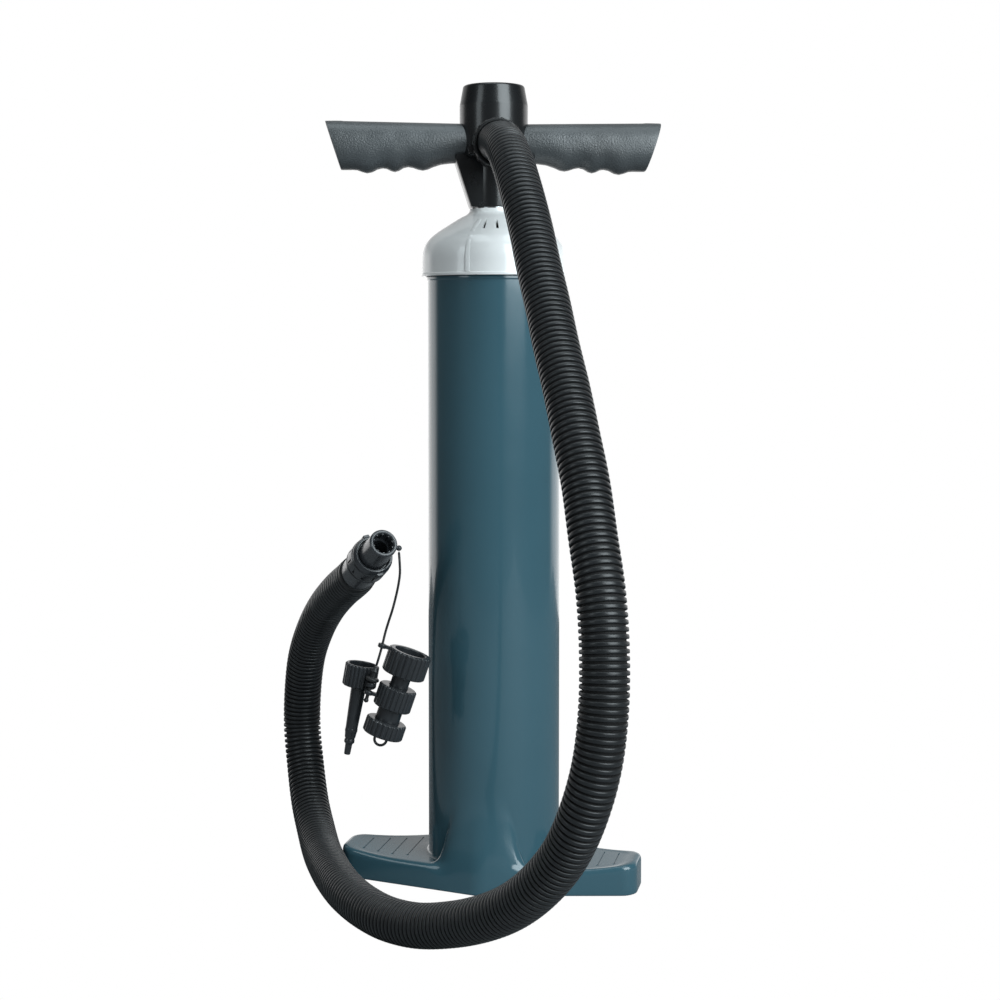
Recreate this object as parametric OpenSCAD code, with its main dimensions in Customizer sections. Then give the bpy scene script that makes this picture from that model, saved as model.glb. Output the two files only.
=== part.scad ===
// Double action hand pump: a barrel on a cross foot, a T-handled plunger and a
// corrugated delivery hose with its push-on adapters. Millimetres, +Z up, the
// origin on the floor under the barrel's axis, the foot a few degrees off X.

/* [Barrel] */
// Outer diameter of the barrel
barrel_od = 100; // [80:1:120]
// Thickness of the barrel's wall
barrel_wall = 2; // [1.5:0.1:3]
// Height of the barrel's rim above the floor
barrel_top = 480; // [400:1:560]
// Thickness of the floor that closes the lower chamber
floor_thick = 4; // [3:0.5:6]

/* [Foot] */
// Distance from the axis to a foot's tip
foot_reach = 114.5; // [95:0.5:130]
// Width of the foot at its tips
foot_tip_width = 36; // [28:1:44]
// How far the foot stands out in front of and behind the barrel
foot_front = 8; // [6:0.5:14]
// Height of the foot at its tips
foot_tip_height = 23.5; // [18:0.5:28]
// How far the tread dips between tip and barrel
foot_dip = 4.5; // [0:0.2:5]
// Radius of the fillet between the tread and the barrel
root_radius = 4; // [2:0.5:8]
// Height of the flare in front of and behind the barrel
flare_height = 36; // [20:1:50]
// Thickness of the foot's shell and ribs
foot_wall = 2.5; // [2:0.1:4]

/* [Cap] */
// Height of the cap from its rim to its neck
cap_height = 51; // [44:1:60]
// Thickness of the cap's wall
cap_wall = 2.2; // [1.6:0.1:3]
// How far the cap's skirt stands outside the barrel
cap_proud = 4.3; // [4.2:0.1:7]
// Number of air slits in a vented panel
slits = 3; // [1:2:5]

/* [Plunger] */
// Outer diameter of the hollow rod
rod_od = 28; // [22:1:30]
// Thickness of the rod's wall
rod_wall = 2; // [1.5:0.1:3]
// Outer diameter of the hub's neck, around the rod
neck_od = 34; // [32:1:40]
// Length of the hub's neck
neck_length = 37.4; // [30:0.2:50]
// Outer diameter of the hub
hub_od = 51.5; // [46:0.5:60]
// Height of the hub
hub_height = 54; // [50:0.2:70]
// Height of the piston without its socket
piston_height = 28; // [26:1:34]

/* [Grips] */
// Distance from the axis to a grip's end, along its top
grip_reach = 128; // [110:1:150]
// Half the depth of a grip, front to back
grip_half = 15.5; // [14:0.5:18]
// How far the finger rests stand out below a grip
finger_rest = 3; // [1:0.5:4]
// Radius of the grip's hollow end
grip_hollow = 11.5; // [9:0.5:12]

/* [Hose] */
// Outer diameter of the corrugated hose
hose_od = 30; // [28:0.5:30]
// Thickness of the hose, ridge to bore
hose_wall = 1.6; // [1.2:0.1:2.5]
// Outer diameter of the twist collar
collar_od = 31; // [30:0.5:36]
// Diameter of the spigot at its mouth
spigot_mouth = 18.8; // [18:0.1:20]
// Diameter of the spigot at its root
spigot_root = 22.4; // [21:0.1:24]
// Bore of the spigot
spigot_bore = 12; // [9:0.5:13]

/* [Adapters] */
// Diameter of the wide adapter's cap
wide_od = 32; // [28:1:34]
// Diameter of the middle adapter's cap
middle_od = 28; // [26:1:30]
// Diameter of the sealing adapter's cap
seal_od = 30; // [26:1:32]
// Diameter of the long nozzle's cap
nozzle_od = 25; // [24:1:26]
// Ribs round each cap
cap_ribs = 24; // [16:1:30]

/* [Hidden] */
$fn = 64;

run = 0.05;            // radial clearance of a running fit
gap = 0.2;             // air between a loose disc and its seat
lift = 2.2;            // travel of a valve disc
disc_thick = 1.5;      // thickness of a rubber valve disc
soft = 0.35;           // clearance round the soft or curved pieces of another body
handle_turn = 13;      // the handle and the cap's vented panels, turned from X
foot_turn = -3.5;      // the foot's length, turned from X

// Barrel and foot
bore_r = barrel_od / 2 - barrel_wall;
foot_mid_half = barrel_od / 2 + foot_front;
tread_z = foot_tip_height - foot_dip;
floor_z = tread_z - foot_wall;
chamber_z = floor_z + floor_thick;
bead_z = barrel_top - 12;          // snap bead that holds the cap
bead_proud = 1;

// Cap and cylinder head
cap_top = barrel_top + 29.6;
cap_rim = cap_top - cap_height;
cap_r = barrel_od / 2 + cap_proud;
head_plug = 17;                    // depth of the head inside the barrel
head_z = barrel_top - head_plug;
head_flange = 3;
boss_drop = 6;                     // the head's boss below its plate
boss_top = barrel_top + 16;
bush_wall = 6;
rod_r = rod_od / 2;
bush_r = rod_r + bush_wall;
boss_r = bush_r + 4;
keeper_z = head_z - 4;
valve_in = boss_r + 0.1;
valve_out = bore_r - 5;
head_holes = (boss_r + valve_out) / 2 + 1;

// Piston, at the bottom of its stroke
piston_z = chamber_z + 9;
piston_r = bore_r - soft;
piston_top = piston_z + piston_height;
piston_floor = 4;
piston_plate = 4;
piston_cell = piston_r - 7.2;      // radius of the valve cell inside the piston
screw_ring = piston_cell - 3;      // radius of the screws' circle
flap_out = screw_ring - 4;
seal_low = piston_z + 9;
seal_tall = 8;
seal_deep = 3.5;
stud_r = 9;                        // post that guides the lower valve disc
collar_r = 22;                     // ring wall that guides the upper valve ring
rod_socket = 13;
socket_r = rod_r + 4;
bumper_tall = 8;
plate_z = piston_top - piston_plate;
valve_rest = plate_z - gap - lift - disc_thick;

// Hub and handle
neck_z = cap_top + 1;
hub_z = neck_z + neck_length;
hub_r = hub_od / 2;
hub_wall = 3;
hub_top = hub_z + hub_height;
port_z = hub_z + 7;
port_bore = 9.5;
port_r = 13.5;
port_end = hub_r + 10.2;           // distance of the port's face from the axis
cuff_flange = 5.6;
cuff_z = port_end + 2.8;           // distance of the hose cuff's back face
hose_start = cuff_z + cuff_flange + gap;
nut_r = 18.2;
nut_back = port_end - 7;
stub_r = 9;
stub_reach = 58;
grip_mid = hub_z + 10;

// Where the hose ends: position, heading from -Y and rise of its axis
hose_end = [-99, -37.7, 233.7];
end_turn = 33.4;
end_rise = 27.9;
sleeve_at = 6;
collar_at = 24.2;
spigot_at = 45;
mouth_at = 66;

// Where the adapters hang: the plane they hang in, and each one's foot and lean
hang_turn = 9;
stack_foot = [-69.4, -81.9, 124];
stack_lean = 19;
nozzle_foot = [-97.3, -75.1, 107];
nozzle_lean = 10;
toggle_top = [-72.2, -88, 175.4];
toggle_lean = 16.5;

// The hose's route, port to end ring
hose_route = [[10.1, -43.6, 555], [20, -76, 550], [30, -104, 534], [40, -129, 511], [49, -150, 486],
    [57, -171, 461], [66, -192, 434], [74, -212, 408], [83, -232, 381], [91, -251, 354],
    [99, -268, 325], [105, -283, 295], [111, -296, 264], [114, -304, 231], [114, -308, 197],
    [110, -307, 163], [101, -300, 131], [88, -286, 102], [70, -269, 77], [50, -249, 57],
    [28, -229, 42], [4, -208, 30], [-22, -187, 21], [-47, -164, 16.5], [-69, -138, 15],
    [-89, -109, 15], [-105, -79, 15], [-119, -48, 15], [-132, -17, 16.5], [-144, 12, 24],
    [-156, 38, 40], [-165, 58, 65], [-170, 67, 95], [-168, 63, 127], [-161, 50, 156],
    [-149, 32, 181], [-134, 10, 202], [-117, -14, 219], hose_end];

// The tether's route, spigot lug to toggle
tether_d = 1.8;
tether_route = [[-57.4, -77.4, 257.8], [-57, -78, 254], [-56.5, -78.9, 249], [-56.2, -79.6, 243],
    [-56.9, -80.2, 236], [-58.2, -80.6, 229], [-59.8, -81.2, 222], [-61.6, -82, 215],
    [-63.8, -82.8, 208], [-66, -83.6, 200.5], [-67.7, -84.8, 193], [-69, -86, 187],
    [-70.3, -87, 182], [-71.4, -87.6, 178], [-72.1, -87.9, 175.6]];

// ---- helpers ----------------------------------------------------------------

// A ring about Z, from radius ri to ro and height z0 to z1
module ring(ri, ro, z0, z1)
    translate([0, 0, z0]) rotate_extrude() translate([ri, 0]) square([ro - ri, z1 - z0]);

// A solid of revolution about Z from [radius, height] points
module turned(points) rotate_extrude() polygon(points);

// Copies round Z
module around(n, r, start = 0)
    for (i = [0 : n - 1]) rotate([0, 0, start + i * 360 / n]) translate([r, 0, 0]) children();

// The plunger's own direction: its -Y is the hose port
module in_handle() rotate([0, 0, handle_turn]) children();

// The port's axis as local +Z, starting on the pump's axis
module on_port() in_handle() translate([0, 0, port_z]) rotate([90, 0, 0]) children();

// The hose end's axis as local +Z, starting at the hose's end face
module on_hose_end()
    translate(hose_end) rotate([0, 0, end_turn]) rotate([90 - end_rise, 0, 0]) children();

// A leaning piece in the plane that the adapters hang in
module hung(place, lean) translate(place) rotate([0, 0, hang_turn]) rotate([0, lean, 0]) children();

function unit(v) = v / norm(v);

// Points of an arc about c, from angle a0 to a1
function arc(c, r, a0, a1, n = 8) = [for (i = [0 : n]) let (a = a0 + (a1 - a0) * i / n) c + r * [cos(a), sin(a)]];

// Points that round corner b of the outline a-b-c
function rounded(a, b, c, r, n = 6) = let (
        u = unit(a - b), w = unit(c - b), half = acos(u * w) / 2,
        centre = b + unit(u + w) * r / sin(half),
        s = b + u * r / tan(half) - centre, e = b + w * r / tan(half) - centre,
        a0 = atan2(s.y, s.x), turn = (atan2(e.y, e.x) - a0 + 540) % 360 - 180)
    arc(centre, r, a0, a0 + turn, n);

// An outline with each [x, y, radius] corner rounded
function smooth_outline(p) = let (n = len(p))
    [for (i = [0 : n - 1]) each rounded([p[(i + n - 1) % n].x, p[(i + n - 1) % n].y],
        [p[i].x, p[i].y], [p[(i + 1) % n].x, p[(i + 1) % n].y], p[i].z)];

// One closed skin over rings of equal size, listed end to end
module skin(rings) {
    n = len(rings[0]);
    last = len(rings) - 1;
    polyhedron([for (r = rings) each r], concat(
        [[for (i = [0 : n - 1]) i]],
        [for (k = [0 : last - 1]) for (i = [0 : n - 1]) let (j = (i + 1) % n)
            [k * n + i, (k + 1) * n + i, (k + 1) * n + j, k * n + j]],
        [[for (i = [n - 1 : -1 : 0]) last * n + i]]));
}

// Directions along a route, the first and last given
function headings(p, first, last) = let (n = len(p) - 1)
    [for (i = [0 : n]) i == 0 ? first : i == n ? last : unit(p[i + 1] - p[i - 1])];

// A side vector for each heading, carried along without twisting
function level(v, t) = unit(v - (v * t) * t);
function sides_of(t) = [for (i = 0, v = level([1, 0, 0.01], t[0]); i < len(t);
    i = i + 1, v = i < len(t) ? level(v, t[i]) : v) v];

// A ring of points about p, square to heading t
function hoop(p, t, v, r, n) = let (w = cross(t, v))
    [for (i = [0 : n - 1]) p + r * (cos(360 * i / n) * v + sin(360 * i / n) * w)];

// A solid cord along a route
module cord(p, first, last, r, n) {
    t = headings(p, first, last);
    v = sides_of(t);
    skin([for (i = [0 : len(p) - 1]) hoop(p[i], t[i], v[i], r, n)]);
}

// A hollow hose along a route: out along its skin and back along its bore
module hollow_cord(p, first, last, r, bore, n) {
    t = headings(p, first, last);
    v = sides_of(t);
    m = len(p);
    rings = concat([for (i = [0 : m - 1]) hoop(p[i], t[i], v[i], r, n)],
        [for (i = [m - 1 : -1 : 0]) hoop(p[i], t[i], v[i], bore, n)]);
    polyhedron([for (q = rings) each q], [for (k = [0 : 2 * m - 1]) for (i = [0 : n - 1])
        let (j = (i + 1) % n, next = (k + 1) % (2 * m)) [k * n + i, next * n + i, next * n + j, k * n + j]]);
}

// ---- barrel and foot --------------------------------------------------------

// The tips sweep forward: their back corners lie just behind the axis
tip_back = 4.5;
tip_front = foot_tip_width - tip_back;
module foot_plan(inset) {
    x = foot_reach - inset;
    back = tip_back - inset * 1.06;
    front = tip_front - inset * 1.06;
    mid = foot_mid_half - inset * 1.06;
    polygon(smooth_outline([[x, -front, 12], [x, back, 12], [0, mid, 24], [-x, back, 14], [-x, -front, 14],
        [0, -mid, 24]]));
}

// Height of the tread at a distance x from the axis
tread_start = barrel_od / 2 + 22;
function tread(x) = tread_z + foot_dip * pow(max(0, (abs(x) - tread_start) / (foot_reach - tread_start)), 2);

module foot_block()
    intersection() {
        linear_extrude(foot_tip_height + 1) foot_plan(0);
        rotate([90, 0, 0]) linear_extrude(4 * foot_mid_half, center = true)
            polygon(concat([[foot_reach + 1, 0], [foot_reach + 1, foot_tip_height - 4]],
                arc([foot_reach - 4, foot_tip_height - 4], 4, 0, 80, 5),
                [for (x = [foot_reach - 6 : -6 : -foot_reach + 6]) [x, tread(x)]],
                arc([-foot_reach + 4, foot_tip_height - 4], 4, 100, 180, 5),
                [[-foot_reach - 1, foot_tip_height - 4], [-foot_reach - 1, 0]]));
    }

module root_sweep() {
    intersection() {
        turned(concat([[bore_r + 0.5, tread_z - 1], [barrel_od / 2 + root_radius, tread_z - 1]],
            arc([barrel_od / 2 + root_radius, tread_z + root_radius], root_radius, 270, 180, 10),
            [[bore_r + 0.5, tread_z + root_radius]]));
        linear_extrude(barrel_top) foot_plan(0);
    }
    intersection() {
        turned([[bore_r + 0.5, tread_z - 1], [barrel_od / 2 + 14, tread_z - 1], [barrel_od / 2 + 6, tread_z + flare_height * 0.38],
            [barrel_od / 2 + 2, tread_z + flare_height * 0.7], [bore_r + 0.5, tread_z + flare_height]]);
        linear_extrude(barrel_top) foot_plan(0);
        translate([0, 0, tread_z + 20]) cube([74, 4 * foot_mid_half, 60], center = true);
    }
}

// The hollow under the foot, around its ribs
module foot_hollow() {
    rib = foot_wall * 0.8;
    difference() {
        translate([0, 0, -1]) linear_extrude(floor_z + 1) foot_plan(foot_wall);
        ring(barrel_od / 2 - foot_wall, barrel_od / 2, -2, floor_z + 1);
        for (a = [0, 90]) rotate([0, 0, a]) translate([0, 0, floor_z / 2])
            cube([2 * foot_reach, rib, floor_z + 4], center = true);
        for (s = [-1, 1]) for (x = [foot_reach * 0.66, foot_reach * 0.83])
            translate([s * x, 0, floor_z / 2]) cube([rib, 4 * foot_tip_width, floor_z + 4], center = true);
    }
}

module intake_holes(h) around(6, 17, 30) cylinder(d = 8, h = h);

module barrel() color("#3e5c6a") difference() {
    union() {
        cylinder(d = barrel_od, h = barrel_top);
        translate([0, 0, bead_z]) turned([[bore_r + 1, -1.5], [barrel_od / 2, -1.5],
            [barrel_od / 2 + bead_proud, -0.5], [barrel_od / 2 + bead_proud, 0.5],
            [barrel_od / 2, 1.5], [bore_r + 1, 1.5]]);
        rotate([0, 0, foot_turn]) {
            foot_block();
            root_sweep();
        }
    }
    translate([0, 0, chamber_z]) cylinder(r = bore_r, h = barrel_top);
    rotate([0, 0, foot_turn]) foot_hollow();
    translate([0, 0, floor_z - 3]) cylinder(r = 22.5, h = 3);
    translate([0, 0, floor_z - 1]) intake_holes(floor_thick + 2);
    translate([0, 0, floor_z - 1]) cylinder(r = 2.55, h = floor_thick + 2);
    rotate([0, 0, foot_turn]) for (x = [-16, 16])
        translate([x, foot_mid_half / 2, 0]) rotate([-90, 0, 0]) cylinder(r = 5, h = foot_mid_half);
}

// Rubber disc that lifts to let air into the lower chamber
module intake_disc() color("#1c1e20") ring(4.1, 26, chamber_z + gap, chamber_z + gap + disc_thick);

module intake_stud() color("#2a2c2e") union() {
    top = chamber_z + 2 * gap + disc_thick + lift;
    translate([0, 0, floor_z - 1.5]) cylinder(r1 = 2, r2 = 3.2, h = 1.4);
    translate([0, 0, floor_z - 0.2]) cylinder(r = 2.5, h = floor_thick + 1);
    translate([0, 0, chamber_z]) cylinder(r = 4, h = top - chamber_z);
    translate([0, 0, top]) cylinder(r1 = 9, r2 = 7.5, h = 2.2);
}

// ---- cylinder head and cap --------------------------------------------------

module cylinder_head() color("#26292b") difference() {
    union() {
        translate([0, 0, head_z]) cylinder(r = bore_r - run, h = head_plug);
        translate([0, 0, barrel_top]) cylinder(r = barrel_od / 2 - 0.6, h = 1);
        translate([0, 0, barrel_top + 1]) cylinder(r1 = barrel_od / 2 - 0.6, r2 = barrel_od / 2 - 3, h = head_flange - 1);
        translate([0, 0, head_z - boss_drop]) cylinder(r = boss_r, h = boss_top - head_z + boss_drop);
    }
    translate([0, 0, head_z - boss_drop - 1]) cylinder(r = bush_r + run, h = boss_top);
    ring(boss_r, bore_r - 6, head_z + 4, barrel_top + head_flange + 1);
    ring(bore_r - 3.9, bore_r + 1, barrel_top - 8, barrel_top - 4);
    translate([0, 0, head_z - 1]) around(10, head_holes) cylinder(d = 7, h = 7);
}

module head_seal() color("#151617") translate([0, 0, barrel_top - 6]) rotate_extrude()
    translate([bore_r - 1.95, 0]) circle(r = 1.85, $fn = 24);

module head_ring_valve() color("#1c1e20")
    ring(valve_in, valve_out, keeper_z + gap, keeper_z + gap + disc_thick);

// Snap ring on the boss: the ring valve drops onto it to let air in
module head_keeper() color("#2a2c2e") ring(boss_r + 0.02, boss_r + 5, keeper_z - 2, keeper_z);

// The cap's outline at its skin, as [radius, height]
function cap_skin(t) = let (r = cap_r - t, z = cap_top) [
    [r, cap_rim + 1], [r, z - 32.5], [r - 0.8, z - 30.5], [r - 2.3, z - 26.5], [r - 5.4, z - 22.1],
    [r - 11.5, z - 17.6], [r - 19.3, z - 12.9], [r - 29.8, z - 8.6], [rod_r + 5.2 - t / 2, z - 3.6],
    [rod_r + 4.2 - t / 2, z]];

module cap() color("#d9dfe0") difference() {
    union() {
        turned(concat([[rod_r + 1, cap_top], [rod_r + 1, cap_rim + 1]], cap_skin(0)));
        ring(rod_r + 3, cap_r + 0.6, cap_rim, cap_rim + 2.5);
    }
    difference() {
        translate([0, 0, -cap_wall * 0.8]) turned(concat([[0, cap_top - cap_wall], [0, cap_rim]], cap_skin(cap_wall)));
        ring(barrel_od / 2 + bead_proud - 0.5, cap_r, bead_z - 4.5, bead_z - 2);
    }
    translate([0, 0, cap_rim - 1]) cylinder(r = barrel_od / 2 + 0.3, h = bead_z - cap_rim - 2);
    translate([0, 0, cap_rim - 1]) cylinder(r = barrel_od / 2 + bead_proud - 0.2, h = bead_z - cap_rim);
    translate([0, 0, cap_top - 12]) cylinder(r = rod_r + 0.5, h = 14);
    in_handle() for (front = [-90, 90]) for (i = [0 : slits - 1])
        rotate([0, 0, front + (i - (slits - 1) / 2) * 15]) translate([rod_r + 11, -0.75, cap_top - 24])
            cube([14, 1.5, 30]);
}

// ---- turning guide ----------------------------------------------------------

module guide_bush() color("#3a3d3f") difference() {
    union() {
        translate([0, 0, head_z - boss_drop + 1]) cylinder(r = bush_r, h = boss_top - head_z + boss_drop);
        translate([0, 0, boss_top + gap]) cylinder(r = boss_r - 1, h = 2.4);
    }
    translate([0, 0, head_z - boss_drop]) cylinder(r = rod_r + run, h = 60);
    translate([0, 0, head_z - boss_drop]) cylinder(r = rod_r + 3.5, h = 6);
    ring(bush_r - 2.1, bush_r + 1, barrel_top - 2, barrel_top + 1);
}

module bush_seal() color("#151617") translate([0, 0, barrel_top - 0.5]) rotate_extrude()
    translate([bush_r - 1.05, 0]) circle(r = 1, $fn = 24);

module rod_seal() color("#151617") translate([0, 0, head_z - boss_drop + 1.4]) difference() {
    ring(rod_r + run, rod_r + 3.45, 0, 4.4);
    translate([0, 0, -0.1]) turned([[rod_r + 1.2, 0], [rod_r + 2.4, 0], [rod_r + 1.8, 2.2]]);
}

// ---- piston and rod ---------------------------------------------------------

module rod() color("#2c2f31") difference() {
    ring(rod_r - rod_wall, rod_r, piston_top, hub_z + hub_wall);
    translate([0, 0, piston_top + rod_socket / 2]) rotate([90, 0, 0]) cylinder(r = 2 + run, h = 2 * rod_od, center = true);
}

module piston_body() color("#2a2c2e") difference() {
    union() {
        difference() {
            translate([0, 0, piston_z]) cylinder(r = piston_r, h = piston_height - piston_plate);
            translate([0, 0, piston_z + piston_floor]) cylinder(r = piston_cell, h = piston_height);
        }
        translate([0, 0, piston_z + 1]) around(4, screw_ring, 45)
            cylinder(r = 3.8, h = piston_height - piston_plate - 1.3);
        translate([0, 0, piston_z + 1]) cylinder(r = stud_r, h = piston_floor - 1 + 2 * gap + disc_thick + lift);
    }
    ring(piston_r - seal_deep, piston_r + 1, seal_low, seal_low + seal_tall);
    translate([0, 0, piston_z - 1]) around(8, 21.5) cylinder(d = 7.5, h = piston_floor + 2);
    translate([0, 0, plate_z - 10]) around(4, screw_ring, 45) cylinder(r = 1.55, h = 12);
}

module piston_seal() color("#151617") difference() {
    ring(piston_r - seal_deep + 0.1, bore_r - 0.12, seal_low + 0.15, seal_low + seal_tall - 0.15);
    for (z = [seal_low, seal_low + seal_tall]) translate([0, 0, z])
        turned([[piston_r - 2.2, -1], [piston_r - 0.5, -1], [piston_r - 1.2, 2], [piston_r - 1.6, 2]]);
    translate([0, 0, seal_low + seal_tall]) turned([[piston_r - 2.2, 1], [piston_r - 1.6, -2],
        [piston_r - 1.2, -2], [piston_r - 0.5, 1]]);
}

module lower_valve_disc() color("#1c1e20")
    ring(stud_r + 0.1, flap_out, piston_z + piston_floor + gap, piston_z + piston_floor + gap + disc_thick);

module lower_valve_keeper() color("#8f9496") union() {
    top = piston_z + piston_floor + 2 * gap + disc_thick + lift;
    translate([0, 0, top]) cylinder(r = stud_r + 4, h = 1.6);
    translate([0, 0, top + 1.6]) cylinder(r = 3.5, h = 2.2);
}

module piston_crown() color("#2a2c2e") difference() {
    union() {
        translate([0, 0, plate_z]) cylinder(r = piston_r, h = piston_plate);
        translate([0, 0, plate_z - 6]) cylinder(r = collar_r, h = 7);
        translate([0, 0, piston_top - 1]) cylinder(r = socket_r, h = rod_socket + 1);
    }
    translate([0, 0, plate_z - 7]) cylinder(r = collar_r - 4, h = 7 + 1);
    translate([0, 0, plate_z]) cylinder(r = rod_r - rod_wall, h = 10);
    translate([0, 0, piston_top]) cylinder(r = rod_r + run, h = rod_socket + 1);
    translate([0, 0, plate_z - 1]) around(10, (collar_r + flap_out) / 2 + 0.2) cylinder(d = 6, h = piston_plate + 2);
    translate([0, 0, plate_z - 1]) around(4, screw_ring, 45) cylinder(r = 1.7, h = piston_plate + 2);
    translate([0, 0, piston_top + rod_socket / 2]) rotate([90, 0, 0])
        cylinder(r = 2 + run, h = 2 * socket_r + 2, center = true);
}

module upper_valve_ring() color("#1c1e20")
    ring(collar_r + 0.1, flap_out, valve_rest, valve_rest + disc_thick);

module upper_valve_keeper() color("#8f9496")
    ring(collar_r + 0.02, collar_r + 3, valve_rest - gap - 1.4, valve_rest - gap);

module piston_screws() color("#a4a8aa") around(4, screw_ring, 45) union() {
    translate([0, 0, plate_z - 8]) cylinder(r = 1.5, h = piston_plate + 8.5);
    translate([0, 0, piston_top]) cylinder(r = 3, h = 2.2);
}

// The pin stops short of the socket's skin, through rod and socket
module rod_pin() color("#a4a8aa") for (s = [-1, 1])
    translate([0, s * (rod_r + 1.4), piston_top + rod_socket / 2]) rotate([90, 0, 0])
        cylinder(r = 2, h = 4.6, center = true);

module bumper() color("#4a4d4f")
    ring(rod_r + 0.3, socket_r - 0.5, piston_top + rod_socket, piston_top + rod_socket + bumper_tall);

// ---- hub and handle ---------------------------------------------------------

// The plate that carries a grip, in front of and behind the neck
module gusset_plate(y) translate([0, y + 1.5, 0]) rotate([90, 0, 0]) linear_extrude(3)
    polygon([[-neck_od / 2 - 1, neck_z], [neck_od / 2 + 1, neck_z], [neck_od / 2 + 12.8, hub_z - 1],
        [-neck_od / 2 - 12.8, hub_z - 1]]);

module hub() color("#1d1f21") in_handle() difference() {
    union() {
        turned(concat([[0, hub_z], [hub_r - 1, hub_z], [hub_r, hub_z + 1]],
            arc([hub_r - 4, hub_top - 4], 4, 0, 90, 8), [[0, hub_top]]));
        translate([0, 0, neck_z]) cylinder(d = neck_od, h = neck_length + 1);
        for (y = [-13, 13]) gusset_plate(y);
        translate([0, 0, port_z]) rotate([90, 0, 0]) cylinder(r = port_r, h = port_end);
        for (s = [-1, 1]) translate([s * (hub_r - 2), 0, grip_mid]) rotate([0, s * 90, 0])
            cylinder(r = stub_r, h = stub_reach - hub_r + 2);
    }
    translate([0, 0, hub_z + hub_wall]) cylinder(r = hub_r - hub_wall, h = hub_height - 2 * hub_wall);
    translate([0, 0, neck_z - 1]) cylinder(r = rod_r + run, h = neck_length + hub_wall + 2);
    translate([0, -rod_r - 3.2, port_z]) rotate([90, 0, 0]) cylinder(r = port_bore, h = port_end);
    for (s = [-1, 1]) translate([s * 44, 0, grip_mid]) rotate([-90, 0, 0]) cylinder(r = 1.55, h = 12);
}

// Half-height outlines of a grip: distance from the axis, top, bottom and half depth
function grip_stations() = let (t = hub_z + 24.6, b = hub_z, reach = grip_reach) [
    [hub_r - 4.5, t, b - 4.6, 14.6], [34, t + 0.1, b - 5.2, 14.8], [44, t + 0.3, b - 7.2, 15],
    [49, t + 0.4, b - 7.5 - finger_rest * 0.5, 15.2], [53.5, t + 0.5, b - 7.5 - finger_rest, grip_half],
    [58.5, t + 0.6, b - 7.5 - finger_rest * 0.55, grip_half], [64.5, t + 0.7, b - 7.9, grip_half],
    [70, t + 0.8, b - 8.6 - finger_rest * 0.6, grip_half], [74.5, t + 0.9, b - 8.6 - finger_rest, grip_half],
    [79, t + 1, b - 8.8 - finger_rest * 0.6, grip_half], [83.6, t + 1.1, b - 9, grip_half],
    [90, t + 1.2, b - 9.7 - finger_rest * 0.6, grip_half], [95.4, t + 1.3, b - 9.7 - finger_rest, grip_half],
    [101, t + 1.4, b - 10.6, grip_half], [reach - 19, t + 1.5, b - 10.4, grip_half]];

function grip_hoop(s, slant = 0) = let (mid = (s[1] + s[2]) / 2, half = (s[1] - s[2]) / 2)
    [for (i = [0 : 23]) let (a = i * 15) [s[0] + slant * (1 + sin(a)) / 2, s[3] * cos(a), mid + half * sin(a)]];

// One grip on the +X side, hollow to its end, with a bore for the hub's stub
module grip() difference() {
    skin([for (s = grip_stations()) grip_hoop(s), grip_hoop([grip_reach - 12, hub_z + 26.2, hub_z - 10.4, grip_half], 12)]);
    translate([0, 0, neck_z]) cylinder(r = hub_r + run, h = 100);
    translate([0, 0, grip_mid]) rotate([0, 90, 0]) cylinder(r = stub_r + run, h = stub_reach + 1);
    translate([stub_reach + 4, 0, grip_mid]) rotate([0, 90, 0]) cylinder(r = grip_hollow, h = grip_reach);
    translate([44, 0, grip_mid]) rotate([-90, 0, 0]) cylinder(r = 1.7, h = 30);
    translate([44, 11.4, grip_mid]) rotate([-90, 0, 0]) cylinder(r = 4.2, h = 30);
}

module left_grip() color("#3c4145") in_handle() mirror([1, 0, 0]) grip();
module right_grip() color("#3c4145") in_handle() grip();

module grip_screws() color("#8f9496") in_handle() for (s = [-1, 1]) translate([s * 44, 0, grip_mid])
    rotate([-90, 0, 0]) union() {
        translate([0, 0, 1]) cylinder(r = 1.5, h = 11);
        translate([0, 0, 11.5]) cylinder(r = 3.8, h = 2.2);
    }

// ---- hose connection at the hub ---------------------------------------------

module port_seal() color("#151617") on_port() translate([0, 0, port_end + 1.35]) rotate_extrude()
    translate([11.5, 0]) circle(r = 1.25, $fn = 24);

module hose_cuff() color("#232527") on_port() turned([[port_bore, cuff_z], [16.4, cuff_z],
    [16.4, cuff_z + cuff_flange], [11.6, cuff_z + cuff_flange], [11.6, cuff_z + cuff_flange + 6],
    [port_bore, cuff_z + cuff_flange + 6]]);

module port_nut() color("#1d1f21") on_port() difference() {
    union() {
        translate([0, 0, nut_back]) cylinder(r = nut_r, h = hose_start + 2 - nut_back);
        rotate([0, 0, 193]) translate([nut_r - 1, -3, nut_back + 3]) cube([5, 6, 8]);
        for (i = [0 : 17]) rotate([0, 0, i * 20]) translate([nut_r - 0.2, 0, nut_back + 1])
            cylinder(r = 0.9, h = hose_start - nut_back - 1, $fn = 16);
    }
    translate([0, 0, nut_back - 1]) cylinder(r = port_r + run, h = 60);
    translate([0, 0, port_end + 0.2]) cylinder(r = 16.4 + run, h = cuff_z + cuff_flange - port_end - 0.1);
    translate([0, 0, cuff_z]) cylinder(r = hose_od / 2 + soft, h = 20);
}

module hose() color("#242628")
    hollow_cord(hose_route, [sin(handle_turn), -cos(handle_turn), 0],
        [cos(end_rise) * sin(end_turn), -cos(end_rise) * cos(end_turn), sin(end_rise)],
        hose_od / 2, hose_od / 2 - hose_wall, 12);

// ---- hose end ---------------------------------------------------------------

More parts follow.
